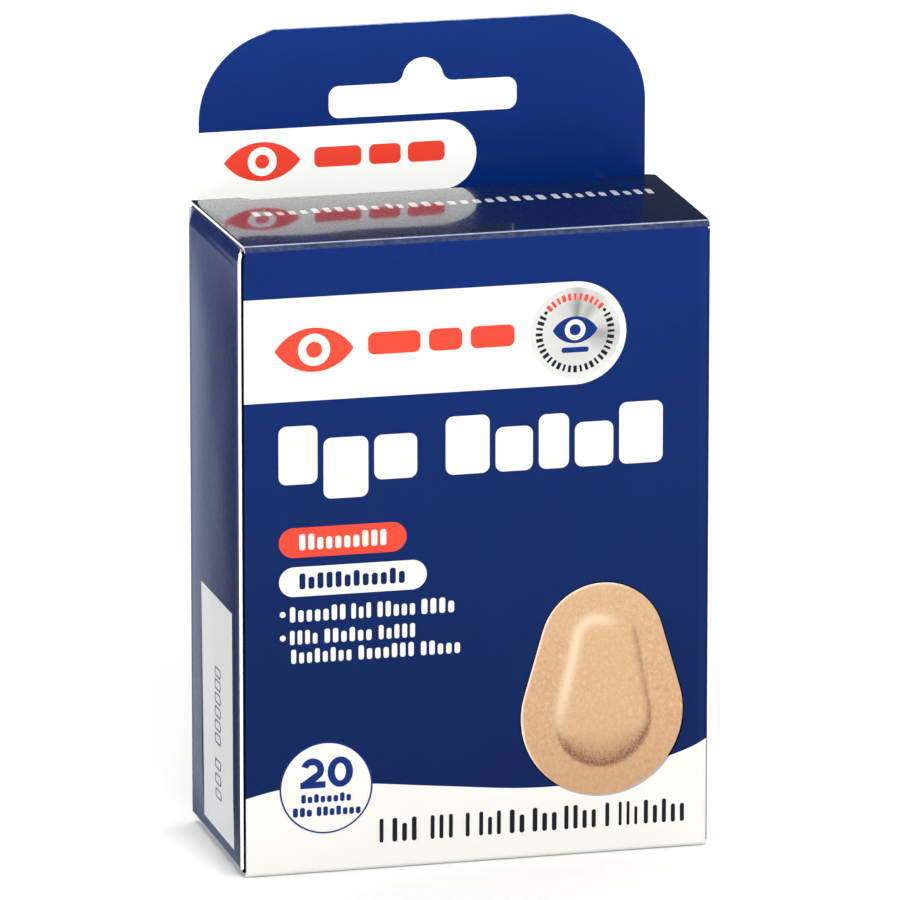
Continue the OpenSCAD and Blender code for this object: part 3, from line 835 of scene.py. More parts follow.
# ------------------------------------------------------------------ side panels
SR = 1.0                       # outer radius of the folds at the side panels' upper edges
LEAN0 = 20                     # degrees that the fold has already turned where it leaves the side panel
Z_S1 = DUST_TOP - SR + SR * math.sin(math.radians(LEAN0))
Z_S0 = WALL_FOOT + 0.35
DUST_Y0, DUST_Y1 = dust_lo[1] + 0.1, 13.5


def side_outline(y0, y1):
    top = [(float(u), Z_S1) for u in np.linspace(y1, y0, 41)]
    return [(y0, WALL_FOOT), (-YO + 1.05, WALL_FOOT), (-YO + 1.05, Z_S0), (YO - 1.05, Z_S0), (YO - 1.05, WALL_FOOT), (y1, WALL_FOOT)] + top


def side_lean(u):
    """How far the side's upper edge is drawn in by its folded flap."""
    return 0.06 + 0.46 * smooth01((u + YO) / 7) * (0.55 + 0.45 * smooth01((YO + 1 - u) / 8))


def side_fn(sx, bow, seed):
    def fn(u, v):
        su = np.clip((u + YO) / (2 * YO), 0, 1)
        sv = np.clip((v - WALL_FOOT) / (Z_S1 - WALL_FOOT), 0, 1)
        f = 4 * su * (1 - su)
        out = bow * f * smooth01(sv * 9) * smooth01((1 - sv) * 6) + 0.05 * f * smooth01((1 - sv) * 9) * waves(u * 1.6, v, seed)
        high = 1.3 + 1.7 * smooth01((u + YO) / 6)
        t = np.clip((v - (Z_S1 - high)) / high, 0, 1)
        return np.stack([sx * (XO + out - (side_lean(u) + SR * (1 - math.cos(math.radians(LEAN0))) + 0.10) * t ** 1.3), u, v + 0 * u], 1)
    return fn


label = (4.7, 3.6, 26.3, 43.8)   # depth from the front face and height of the label box
label_poly = [(label[0] - YO, label[1]), (label[2] - YO, label[1]), (label[2] - YO, label[3]), (label[0] - YO, label[3])]
code, code_in = [], []
for i, (a, b) in enumerate([(9.6, 11.3), (12.1, 13.9), (14.7, 16.4), (19.0, 20.8), (21.3, 23.1), (23.6, 25.4), (25.9, 27.7), (28.2, 30.0), (30.4, 32.1)]):
    code.append(rrect(12.2 - YO, a, 16.4 - YO, b, 0.7, 4))
    code_in.append(rrect(12.75 - YO, a + 0.32, 15.85 - YO, b - 0.32, 0.45, 4))
left_plan = Plan(side_outline(-YO + 0.1, YO - FOLD), (), [("label", [label_poly]), ("code", code), ("code_in", code_in)], [((-YO - 1, Z_S1 - d), (YO + 1, Z_S1 - d)) for d in (0.3, 0.6, 1, 1.4, 1.8, 2.2, 2.6, 3)], 2.2)
left = board("left_side_print", left_plan, side_fn(-1, 0.42, 2.0), -1, [("label", label_grey), ("code", code_grey), ("code_in", label_grey)], "carton", "left_side_panel")

# the right side and the back aren't in view, and carry plain panels of the same kind
r_sw = [(-YO - 1, -2), (YO + 1, -2), (YO + 1, 14.6), (6, 15.6), (-8, 17.4), (-YO - 1, 18.8)]
facts = rrect(-13.6, 26, 13.6, 96, 1.2, 5)
fact_bars = [rrect(-11.6, z, x1, z + 1.5, 0.5, 3) for z, x1 in zip(np.arange(87, 30, -3.6), [4, 10, 11, 7, 10.5, 9, 2, 11, 10, 6, 11, 8, 10, 3, 11, 9])]
fact_head = [rrect(-11.6, 90.6, 3, 93.4, 0.6, 3)]
fact_rules = [[(-11.6, z), (11.6, z), (11.6, z + 0.35), (-11.6, z + 0.35)] for z in (89.0, 66.9, 45.2)]
right_plan = Plan(side_outline(-YO + FOLD, YO - FOLD), (), [("swoosh", [r_sw]), ("facts", [facts]), ("bars", fact_bars + fact_head + fact_rules)], (), 2.4)
right = board("right_side_print", right_plan, side_fn(1, 0.30, 5.0), 1, [("swoosh", white), ("facts", white), ("bars", ink)], "carton", "right_side_panel")

# ------------------------------------------------------------------ back panel and hang tab
UB = XO - FOLD + ARC
Z_B0 = back_lo[2] + 0.35
FL = XO - FOLD - 0.3
ZC, TR = TAB_TOP - 15 + 0.45, 15.0
TA = math.degrees(math.asin((TAB_TOP - ZC) / TR))
HALF = TAB_X - TR + TR * math.cos(math.radians(TA))
S0 = H + 12.4                  # the slot's lower edge
CH = (0, S0 + 9.5 - 3.5)
slot_poly = (arc(-16 + 1.7, S0 + 1.7, 1.7, 180, 270, 8) + arc(16 - 1.7, S0 + 1.7, 1.7, 270, 360, 8) + arc(16 - 1.7, S0 + 5.4 - 1.7, 1.7, 0, 90, 8)
             + arc(5.16, S0 + 7.2, 1.8, 270, 193.1, 9) + arc(*CH, 3.5, 13.1, 166.9, 22)[1:-1] + arc(-5.16, S0 + 7.2, 1.8, 346.9, 270, 9) + arc(-16 + 1.7, S0 + 5.4 - 1.7, 1.7, 90, 180, 8))
tab_right = arc(TAB_X - TR, ZC, TR, 0, TA, 20)
tab_left = arc(-TAB_X + TR, ZC, TR, 180 - TA, 180, 20)
back_outline = ([(-FL, Z_B0), (FL, Z_B0), (FL, WALL_FOOT), (UB, WALL_FOOT), (UB, WALL_TOP), (TAB_X, WALL_TOP)] + tab_right + tab_left
                + [(-TAB_X, WALL_TOP), (-UB, WALL_TOP), (-UB, WALL_FOOT), (-FL, WALL_FOOT)])


def tab_lean(v):
    """The hang tab tips back a hair above the carton."""
    return 0.10 * smooth01((v - H) / 28)


def back_fn(u, v):
    e = XO - FOLD
    t = np.clip((np.abs(u) - e) / FOLD, 0, math.pi / 2)
    more = np.clip((np.abs(u) - e) / FOLD - math.pi / 2, 0, None) * FOLD
    s = np.sign(u)
    x = np.where(np.abs(u) > e, s * (e + FOLD * np.sin(t)), u)
    y = YO - FOLD * (1 - np.cos(t)) - more
    su, sv = np.clip((u + e) / (2 * e), 0, 1), np.clip((v - Z_B0) / (WALL_TOP - Z_B0), 0, 1)
    fade = 16 * su * (1 - su) * sv * (1 - sv)
    y = y + 0.10 * fade + 0.03 * fade * waves(u, v, 3.0) + tab_lean(v)
    return np.stack([x, y, v + 0 * u], 1)


lines = []
for i in range(0, 9):
    for s in (-1, 1):
        lines.append(((s * (XO - FOLD + ARC * i / 8), WALL_FOOT - 0.5), (s * (XO - FOLD + ARC * i / 8), WALL_TOP + 0.3)))
b_facts = [rrect(-33, 40, 33, 99, 1.5, 5)]
b_bars = [rrect(-30, z, x1, z + 1.6, 0.5, 3) for z, x1 in zip(np.arange(89, 44, -3.9), [24, 28, 12, 29, 27, 29, 8, 28, 22, 29, 15])]
b_head = [rrect(-30, 93.2, 4, 96.4, 0.7, 3)]
b_diag = [egg(13.5, 18, 4.8, 12, at=(c, 10.5)) for c in (-24, 0, 24)]
b_pad = [egg(7.6, 12.4, 2.4, 10, at=(c, 13.2)) for c in (-24, 0, 24)]
b_sw = [(-45, -2), (45, -2), (45, 14.0)] + spline([(41, 14.2), (20, 12.6), (0, 12.2), (-20, 13.0), (-41, 14.4)], 8) + [(-45, 14.6)]
back_plan = Plan(back_outline, [slot_poly], [("swoosh", [b_sw]), ("facts", b_facts), ("bars", b_bars + b_head), ("diagram", b_diag), ("pads", b_pad)], lines, 3.4)
tan_plain = coated("print_tan", (224, 182, 140), speck=0.2)
tan_light = coated("print_tan_light", (240, 208, 170), speck=0.2)
back = board("back_panel_print", back_plan, back_fn, -1, [("swoosh", white), ("facts", white), ("bars", ink), ("diagram", tan_plain), ("pads", tan_light)], "carton", "back_panel")

tab_banner = art([(-3, 105.7)] + arc(42.9, 111.6, 5.9, -90, 90, 30) + [(-3, 117.5)])
tab_brand = [art(eye(12.4, 112.1, 13.0, 6.6))]
tab_bars = [art(rrect(21.2, 110.6, 29.2, 114.0, 1.0)), art(rrect(30.5, 110.6, 35.9, 114.0, 1.0)), art(rrect(37.1, 110.6, 43.4, 114.0, 1.0))]
ply_z0 = ply_lo[2]
ply_outline = [(-TAB_X, ply_z0), (TAB_X, ply_z0)] + tab_right + tab_left
ply_plan = Plan(ply_outline, [slot_poly], [("banner", [tab_banner]), ("brand", tab_brand + tab_bars), ("hole", [art(disc(12.4, 112.1, 2.45, 28))]), ("pupil", [art(disc(12.4, 112.1, 1.2, 20))])], (), 3.0)


def ply_fn(u, v):
    y = PLY_Y + tab_lean(v) + 0.02 * waves(u, v * 2, 1.2) * np.clip((TAB_TOP - v) / 6, 0, 1) * np.clip((v - ply_z0) / 10, 0, 1)
    return np.stack([u + 0 * v, y, v + 0 * u], 1)


yf = PLY_Y + BOARD + 0.10
top_fold = fold(quarter((yf, TAB_TOP), BOARD, 180, 0, 14), quarter((yf, TAB_TOP), 0.03, 180, 0, 14), -HALF, HALF, "x", navy_top, 60, taper=lambda s: (-HALF + 1.5 * math.sin(math.pi * s), HALF - 1.5 * math.sin(math.pi * s)))
# the tab's banner takes the lighter, painted-light copy of the white print
ply = board("hang_tab_front_print", ply_plan, ply_fn, 1, [("banner", white_tab), ("brand", red), ("hole", white_tab), ("pupil", red)], "carton", "hang_tab_front_ply", extra=[top_fold], ground=navy_tab)

# ------------------------------------------------------------------ glue flap, behind the left side panel
g_lo, g_hi = box("glue_flap")
glue_plan = Plan([(g_lo[1], g_lo[2]), (g_hi[1], g_lo[2] + 3.5), (g_hi[1], g_hi[2] - 3.5), (g_lo[1], g_hi[2])], (), (), (), 4.0)
board("glue_flap_board", glue_plan, lambda u, v: np.stack([0 * u + g_lo[0], u, v], 1), -1, [], "carton", "glue_flap", ground=white)

# ------------------------------------------------------------------ lid, tuck flap and their folds
LY0 = -YO + CR                # where the lid's flat begins
TR_OUT = 0.9                  # outer radius of the tuck fold
LY1 = TUCK_Y + BOARD - TR_OUT # where it ends at the tuck fold
CROWN = 0.80
LX0, LX0R, LX1 = LIDX0 + 0.6, LIDX0 - 0.35, LIDX1 + 0.2   # as it sits in the photo, a little askew on the left
SLIT = 9.2


def crown(y):
    t = np.clip((y - LY0) / (LIDY - LY0), -0.1, 1)
    return CROWN * 4 * t * (1 - t)


def lid_fn(u, v):
    su = np.clip((u - LIDX0) / (LIDX1 - LIDX0), 0, 1)
    z = H + crown(v) * (0.92 + 0.08 * np.sin(u * 0.07 + 0.6)) + 0.02 * np.sin(u * 0.31) * np.clip((v - LY0) / 6, 0, 1) * np.clip((LIDY - v) / 6, 0, 1)
    return np.stack([u + 0 * v, v + 0 * u, z], 1)


lid_outline = [(LX0, LY0), (LX1, LY0), (LX1, LIDY - 1.5)] + arc(LX1 - 1.5, LIDY - 1.5, 1.5, 0, 90, 8)[1:] + [
    (LIDX1 - SLIT + 1.2, LIDY), (LIDX1 - SLIT + 0.3, TUCK_Y + 0.9), (LIDX1 - SLIT, TUCK_Y), (LIDX1 - SLIT, LY1), (LIDX0 + SLIT, LY1), (LIDX0 + SLIT, TUCK_Y),
    (LIDX0 + SLIT - 0.3, TUCK_Y + 0.9), (LIDX0 + SLIT - 1.2, LIDY), (LX0R + 0.4, LIDY), (LX0R, LIDY - 0.4)]
# where the lid's left edge gets its painted-shade strip
rim_strip = [(LX0 - 1, LY0 - 1), (LX0 + 0.34, LY0 - 1), (LX0R + 0.3, LIDY), (LX0R - 1, LIDY)]
lid_words = []
for k, (a, b) in enumerate([(7.1, 28.2), (29.7, 32.3), (33.6, 49.7), (50.8, 56.5), (57.8, 66.7), (67.9, 74.8)]):
    lid_words += word(a, 18.0, b, 21.5, k, 2.0, 0.9)
lid_words = [[(x - XO, z - YO) for x, z in p] for p in lid_words]
lid_plan = Plan(lid_outline, (), [("rim", [rim_strip]), ("words", lid_words)], (), 1.6)
# the lid carries the darker, painted-shade navy
lid = board("lid_print", lid_plan, lid_fn, 1, [("rim", lid_rim), ("words", white)], "lid", "top_lid", ground=navy_lid)

TZ1 = H - TR_OUT
tx0, tx1, tz0 = tuck_lo[0], tuck_hi[0], tuck_lo[2]
TB0, TB1 = LIDX0 + SLIT + 0.1, LIDX1 - SLIT - 0.1
tuck_outline = ([(tx1, TZ1 - 1.6), (tx1 - 1, TZ1), (tx0 + 1, TZ1), (tx0, TZ1 - 1.6)] + arc(tx0 + 6, tz0 + 6, 6, 180, 270, 12) + arc(tx1 - 6, tz0 + 6, 6, 270, 360, 12))
tuck_plan = Plan(tuck_outline, (), (), (), 2.4)
board("tuck_flap_print", tuck_plan, lambda u, v: np.stack([u + 0 * v, 0 * u + TUCK_Y + BOARD, v + 0 * u], 1), -1, [], "tuck_flap", "top_tuck_flap")

dz = float(crown(np.array([LY1]))[0]) * 0.84 - 0.03


def lift(prof, start_first=True, by=0.0):
    n = len(prof) - 1
    return [(h, z + by * (1 - i / n if start_first else i / n)) for i, (h, z) in enumerate(prof)]


# the tuck fold carries the lid's darker, painted-shade navy as well
crease("tuck_flap_crease", fold(lift(quarter((LY1, TZ1), TR_OUT, 90, 0, 12), True, dz), lift(quarter((LY1, TZ1), TR_OUT - BOARD, 90, 0, 12), True, dz), TB0, TB1, "x", navy_lid, 24))
crease("lid_front_crease", fold(quarter((LY0, Z_F1), CR, 180, 90, 16), quarter((LY0, Z_F1), CR - BOARD, 180, 90, 16), LX0, LX1, "x", navy_crease, 60,
                                taper=lambda s: (LX0 + 0.12 * (1 - min(1, s * 1.4)), LX1 - 0.08 * (1 - min(1, s * 1.4)))))

# ------------------------------------------------------------------ top dust flaps and their folds
y1, y2 = 13.5, dust_hi[1] - 2.6
y2 = 10.9
DL = 21.0


def dust_outline():
    s0 = SR
    return [(s0, -YO + 1.7), (DL - 1.5, -YO + 1.1 + 0.62 * (DL - 1.5)), (DL, -YO + 2.2 + 0.62 * DL), (DL, y2 - 4.5), (DL - 2, y2 - 2.6), (3.2, y2), (2.1, y2 + 0.5), (1.9, y1), (s0, y1)]


bleed = [(-1, -20), (3.4, -20), (3.2, 20), (-1, 20)]
dust_plan = Plan(dust_outline(), (), [("bleed", [bleed])], (), 2.2)


def dust_fn(sx):
    def fn(u, v):
        sag = 0.10 * smooth01((u - SR) / DL)
        return np.stack([sx * (XO - u), v + 0 * u, DUST_TOP - sag + 0 * u], 1)
    return fn


for side, sx, flip in (("left", -1, 1), ("right", 1, -1)):
    board(f"dust_flap_{side}_board", dust_plan, dust_fn(sx), flip, [("bleed", navy)], f"dust_flap_{side}", f"top_dust_flap_{side}", ground=white)
    o = [(sx * (XO - SR + SR * math.cos(math.radians(a))), DUST_TOP - SR + SR * math.sin(math.radians(a))) for a in np.linspace(LEAN0, 90, 13)]
    i = [(sx * (XO - SR + (SR - BOARD) * math.cos(math.radians(a))), DUST_TOP - SR + (SR - BOARD) * math.sin(math.radians(a))) for a in np.linspace(LEAN0, 90, 13)]
    ends = lambda s: (-YO + 0.1 + (DUST_Y0 + YO - 0.1) * float(smooth01((s - 0.3) / 0.7)), YO - 0.95 + (DUST_Y1 - YO + 0.95) * float(smooth01((s - 0.3) / 0.7)))
    drawn = (lambda sx: lambda a, s: -sx * float(side_lean(a)) * (1 - s))(sx)
    crease(f"dust_flap_{side}_crease", fold(o, i, DUST_Y0, DUST_Y1, "y", navy_fold, 36, taper=ends, shift=drawn))

# ------------------------------------------------------------------ bottom: glued flaps with their folds
bo_lo, bo_hi = box("bottom_outer_flap")
bi_lo, bi_hi = box("bottom_inner_flap")
bd_lo, bd_hi = box("bottom_dust_flap_left")
ye = bo_hi[1]
bo_x0, bo_x1 = bo_lo[0] + 1.3, bo_hi[0] - 0.4
out_plan = Plan([(bo_x0, -YO + FOLD), (bo_x1, -YO + FOLD), (bo_x1, ye - 3), (bo_x1 - 2, ye), (bo_x0 + 2, ye), (bo_x0, ye - 3)], (),
                [("ring", [disc(26, 4, 4.2, 40)]), ("hole", [disc(26, 4, 3.3, 36)]), ("bars", [rrect(-34, 2.6, -8, 5.4, 0.8, 3), rrect(-34, -2.4, -14, 0.2, 0.8, 3)])], (), 3.2)
bottom_fold = fold(quarter((-YO + FOLD, FOLD), FOLD, 180, 270, 10), quarter((-YO + FOLD, FOLD), FOLD - BOARD, 180, 270, 10), XF0 + 0.5, bo_hi[0] + 0.15, "x", white, 24)
board("bottom_outer_flap_print", out_plan, lambda u, v: np.stack([u + 0 * v, v + 0 * u, 0 * u], 1), -1, [("bars", navy), ("ring", navy), ("hole", white)], "carton", "bottom_outer_flap", extra=[bottom_fold], ground=white)
zi = bi_lo[2]
inn_plan = Plan([(bi_hi[0], YO - FOLD), (bi_lo[0], YO - FOLD), (bi_lo[0], bi_lo[1] + 6), (bi_lo[0] + 3, bi_lo[1]), (bi_hi[0] - 3, bi_lo[1]), (bi_hi[0], bi_lo[1] + 6)], (), (), (), 5.0)
inner_fold = fold(quarter((YO - FOLD, zi + FOLD), FOLD, 0, -90, 10), quarter((YO - FOLD, zi + FOLD), FOLD - BOARD, 0, -90, 10), -FL, FL, "x", white, 20)
board("bottom_inner_flap_board", inn_plan, lambda u, v: np.stack([u + 0 * v, v + 0 * u, 0 * u + zi], 1), -1, [], "carton", "bottom_inner_flap", extra=[inner_fold], ground=white)
zd = bd_lo[2]
for side, sx, flip in (("left", -1, -1), ("right", 1, 1)):
    plan = Plan([(FOLD, -YO + 1.1), (20, -YO + 4), (24, -YO + 9), (24, YO - 9), (20, YO - 4), (FOLD, YO - 1.1)], (), (), (), 4.0)
    fn = (lambda sx: lambda u, v: np.stack([sx * (XO - u), v + 0 * u, 0 * u + zd], 1))(sx)
    o = [(sx * (XO - FOLD + FOLD * math.cos(math.radians(a))), zd + FOLD + FOLD * math.sin(math.radians(a))) for a in np.linspace(0, -90, 11)]
    i = [(sx * (XO - FOLD + (FOLD - BOARD) * math.cos(math.radians(a))), zd + FOLD + (FOLD - BOARD) * math.sin(math.radians(a))) for a in np.linspace(0, -90, 11)]
    board(f"bottom_dust_flap_{side}_board", plan, fn, flip, [], "carton", f"bottom_dust_flap_{side}", extra=[fold(o, i, -YO + 1.05, YO - 1.05, "y", white if sx > 0 else navy, 20)], ground=white)


# ------------------------------------------------------------------ pouches
def film_mat():
    m = Mat("pouch_clear_film")
    m.put("Base Color", (0.86, 0.90, 0.93, 1))
    m.link(m.rng(m.noise(500, 3), 0.3, 0.7, 0.10, 0.24), m.b.inputs["Roughness"])
    m.link(m.rng(m.noise(160, 3, 0.6), 0.35, 0.65, 0.04, 0.12), m.b.inputs["Alpha"])
    m.put("IOR", 1.5)
    m.bump(m.math("ADD", m.noise(240, 3, 0.6, distort=1.0), m.math("MULTIPLY", m.noise(1400, 2), 0.2)), 0.5, 0.00025)
    return m.mat


def paper_mat(name, colour, grain=1.0, gloss=0.25):
    m = Mat(name)
    fib = m.noise(1800, 4, 0.65, distort=0.5)
    base = m.ramp(fib, [(0.3, lin([c * 0.94 for c in colour])), (0.55, lin(colour)), (0.8, lin([min(255, c * 1.03) for c in colour]))])
    m.link(base, m.b.inputs["Base Color"])
    m.link(m.rng(m.noise(700, 2), 0.2, 0.8, 0.62, 0.82), m.b.inputs["Roughness"])
    m.put("Specular IOR Level", gloss)
    m.bump(m.math("ADD", fib, m.noise(260, 3)), 0.25 * grain, 0.00005)
    return m.mat


def nonwoven_mat():
    """Spun-bonded tan cloth: tangled fibres, bond dots, tiny breathing holes."""
    m = Mat("patch_nonwoven")
    fib = m.noise(900, 5, 0.72, stretch=(1, 1, 0.55), distort=1.4)
    base = m.ramp(fib, [(0.28, lin((196, 146, 100))), (0.5, lin((220, 176, 130))), (0.74, lin((236, 200, 158)))])
    pores = m.rng(m.voronoi(900), 0.10, 0.24, 1, 0)
    # the pores are drawn darker than the fibres: painted shade inside them
    base = m.mix(m.math("MULTIPLY", pores, 0.45), base, lin((160, 112, 76)))
    base = m.mix(m.rng(m.noise(60, 3), 0.35, 0.65, 0, 0.25), base, lin((214, 166, 120)))
    m.link(base, m.b.inputs["Base Color"])
    m.put("Roughness", 0.88)
    m.put("Sheen Weight", 0.25)
    m.put("Sheen Roughness", 0.5)
    m.put("Specular IOR Level", 0.25)
    m.bump(m.math("SUBTRACT", fib, m.math("MULTIPLY", pores, 0.8)), 0.55, 0.00012)
    return m.mat


def felt_mat():
    m = Mat("pad_felt_white")
    fib = m.noise(1100, 5, 0.7, distort=2.0)
    m.link(m.ramp(fib, [(0.3, lin((226, 224, 216))), (0.7, lin((250, 249, 245)))]), m.b.inputs["Base Color"])
    m.put("Roughness", 0.95)
    m.put("Sheen Weight", 0.35)
    m.put("Specular IOR Level", 0.15)
    m.bump(fib, 0.7, 0.0002)
    return m.mat


def net_mat():
    """Perforated facing: rows of small round holes in a thin white film."""
    m = Mat("pad_net")
    sep = m.z()
    hole = []
    for s in (sep[0], sep[2]):
        hole.append(m.math("ABSOLUTE", m.math("SINE", m.math("MULTIPLY", s, math.pi / 0.0012))))
    dots = m.math("MULTIPLY", hole[0], hole[1])
    # the holes are drawn darker than the film: painted shade in the holes
    m.link(m.mix(m.rng(dots, 0.80, 0.90, 0, 1), lin((244, 244, 240)), lin((188, 186, 178))), m.b.inputs["Base Color"])
    m.link(m.rng(m.noise(900, 2), 0.3, 0.7, 0.28, 0.42), m.b.inputs["Roughness"])
    m.bump(m.rng(dots, 0.74, 0.92, 1, 0), 0.6, 0.00012)
    return m.mat


def glue_mat():
    m = Mat("patch_adhesive_coat")
    m.link(m.ramp(m.noise(700, 3), [(0.3, lin((226, 208, 172))), (0.7, lin((240, 226, 196)))]), m.b.inputs["Base Color"])
    m.link(m.rng(m.noise(1200, 2), 0.3, 0.7, 0.18, 0.34), m.b.inputs["Roughness"])
    m.put("Alpha", 0.75)
    m.bump(m.noise(1500, 3), 0.4, 0.00006)
    return m.mat


M_FILM, M_PAPER, M_NONWOVEN, M_FELT, M_NET, M_GLUE = film_mat(), paper_mat("pouch_paper_sheet", (244, 243, 238)), nonwoven_mat(), felt_mat(), net_mat(), glue_mat()
M_LINER = paper_mat("release_liner", (250, 249, 244), 0.5, 0.6)

PX0, PX1, PZ0, PZ1 = film_lo[0], film_hi[0], film_lo[2], film_hi[2]
PXC = (PX0 + PX1) / 2
LAST_Y = film_lo[1]
PITCH, N_STACK, SEAL = 1.5, 19, 5.0
bk_lo, bk_hi = box("patch_backing")
PATCH_Z = bk_lo[2]
pad_lo_, pad_hi_ = box("patch_pad")
PAD_Z = pad_lo_[2]
patch_outline = egg(57, 80, 20.2, 30, at=(PXC, PATCH_Z))
pad_outline = egg(34, 57, 10.3, 26, at=(PXC, PAD_Z))
pad_rough = egg(34, 57, 10.3, 10, at=(PXC, PAD_Z))


def rib(u, v, on=1.0):
    """Pressed ribs of the heat seal."""
    d = np.minimum(np.minimum(u - PX0, PX1 - u), np.minimum(v - PZ0, PZ1 - v))
    band = smooth01((SEAL - 0.3 - d) / 0.6) * smooth01((d - 0.2) / 0.5)
    return on * 0.035 * band * np.sin(v * 2 * math.pi / 1.25)


def rumple(u, v, k):
    return (0.5 * np.sin(u * 0.21 + 0.13 * v + 1.3 * k) * np.sin(v * 0.17 - 0.05 * u + 0.7 * k) + 0.3 * np.sin(0.43 * u - 0.29 * v + 2.2 * k)
            + 0.2 * np.sin(0.71 * v + 0.37 * u + k))


def film_off(u, v, k, ribs=1.0):
    d = np.minimum(np.minimum(u - PX0, PX1 - u), np.minimum(v - PZ0, PZ1 - v)) - SEAL
    r = smooth01(d / 2.6)
    dp, _, _ = sdf(u, v, pad_rough)
    p = smooth01(1 - dp / 9.0)
    f = 0.40 + 0.20 * rumple(u, v, k)
    return 1.25 * (1 - r) + r * f * (1 - p) + rib(u, v, ribs)


def back_off(u, v):
    dp, _, _ = sdf(u, v, pad_rough)
    return 0.78 - 0.68 * smooth01((1.7 - dp) / 2.7)


def pouch_sheet(name, plan, off, thick, mat, body, node, ys, ks, extra_mat=None):
    """Closed thin sheets that follow off(u, v, k), one at each place in ys."""
    pal = Palette()
    allv, allf, allm, allc = [], [], [], []
    base = 0
    for y0, k in zip(ys, ks):
        fn = lambda u, v: np.stack([u + 0 * v, y0 + off(u, v, k), v + 0 * u], 1)
        v, f, m, c = sheet_arrays(plan, fn, 1, (lambda a, b: thick(a, b, k)) if callable(thick) else thick, lambda cover: pal(mat), pal(mat), pal(mat))
        allv.append(v)
        allf += [[i + base for i in face] for face in f]
        allm += m
        allc.append(c)
        base += len(v)
    o = new_object(name, np.vstack(allv), allf, pal.list, allm, np.vstack(allc))
    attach(o, body)
    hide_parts(node)
    return o


def rect_plan(x0, x1, z0, z1, gx, gz):
    """A plain rectangle cut into regular cells."""
    p = Plan.__new__(Plan)
    nx, nz = max(1, round((x1 - x0) / gx)), max(1, round((z1 - z0) / gz))
    xs, zs = np.linspace(x0, x1, nx + 1), np.linspace(z0, z1, nz + 1)
    p.uv = np.array([(x, z) for z in zs for x in xs])
    w = nx + 1
    t = []
    for j in range(nz):
        for i in range(nx):
            a = j * w + i
            t += [(a, a + 1, a + w + 1), (a, a + w + 1, a + w)] if (i + j) % 2 else [(a, a + 1, a + w), (a + 1, a + w + 1, a + w)]
    p.tris = np.array(t)
    p.cover = [set()] * len(t)
    count = {}
    for q in p.tris:
        for a, b in ((q[0], q[1]), (q[1], q[2]), (q[2], q[0])):
            count[(a, b)] = 1
    p.rim = [(a, b) for (a, b) in count if (b, a) not in count]
    return p


LAST_K = 3.1
film_plan = rect_plan(PX0, PX1, PZ0, PZ1, 1.3, 0.32)
film = pouch_sheet("pouch_film_clear", film_plan, lambda u, v, k: film_off(u, v, k), 0.08, M_FILM, "pouch", "pouch_film", [LAST_Y], [LAST_K])
paper = pouch_sheet("pouch_paper_back", rect_plan(PX0, PX1, PZ0, PZ1, 1.8, 0.32), lambda u, v, k: 1.35 + rib(u, v), 0.10, M_PAPER, "pouch", "pouch_paper", [LAST_Y], [LAST_K])
backing_plan = Plan(patch_outline, (), (), (), 0.9)
backing = pouch_sheet("patch_backing_cloth", backing_plan, lambda u, v, k: back_off(u, v) + 0.015 * rumple(u * 3, v * 3, k), 0.25, M_NONWOVEN, "pouch", "patch_backing", [LAST_Y], [LAST_K])
adh_outline = egg(56.6, 79.6, 20.0, 24, at=(PXC, PATCH_Z + 0.2))
adh_hole = egg(38.4, 61.4, 12.5, 20, at=(PXC, PAD_Z - 2.2))
adhesive = pouch_sheet("patch_adhesive_coat", Plan(adh_outline, [adh_hole], (), (), 3.0), lambda u, v, k: 0 * u + 1.03, 0.04, M_GLUE, "pouch", "patch_adhesive", [LAST_Y], [LAST_K])
pad_plan = Plan(pad_outline, (), (), (), 1.2)
pad = pouch_sheet("patch_pad_felt", pad_plan, lambda u, v, k: np.maximum(0.36, back_off(u, v) + 0.27), lambda u, v, k: 0.98 - np.maximum(0.36, back_off(u, v) + 0.27), M_FELT, "pouch", "patch_pad", [LAST_Y], [LAST_K])
face_outline = egg(33.4, 56.4, 10.0, 22, at=(PXC, PAD_Z + 0.3))
facing = pouch_sheet("patch_pad_net", Plan(face_outline, (), (), (), 2.2), lambda u, v, k: 0 * u + 0.99, 0.08, M_NET, "pouch", "patch_pad_facing", [LAST_Y], [LAST_K])
ll_lo, ll_hi = box("liner_lower")
lu_lo, lu_hi = box("liner_upper")


def liner_outline(lo, hi, n=1.4):
    return rrect(lo[0], lo[2], hi[0], hi[2], n, 4)


liner_low = pouch_sheet("liner_lower_sheet", Plan(liner_outline(ll_lo, ll_hi), (), (), (), 4.0), lambda u, v, k: 1.08 + 0 * u, 0.10, M_LINER, "pouch", "liner_lower", [LAST_Y], [LAST_K])
liner_up = pouch_sheet("liner_upper_sheet", Plan(liner_outline(lu_lo, lu_hi), (), (), (), 4.0), lambda u, v, k: 1.20 + 0 * u, 0.10, M_LINER, "pouch", "liner_upper", [LAST_Y], [LAST_K])

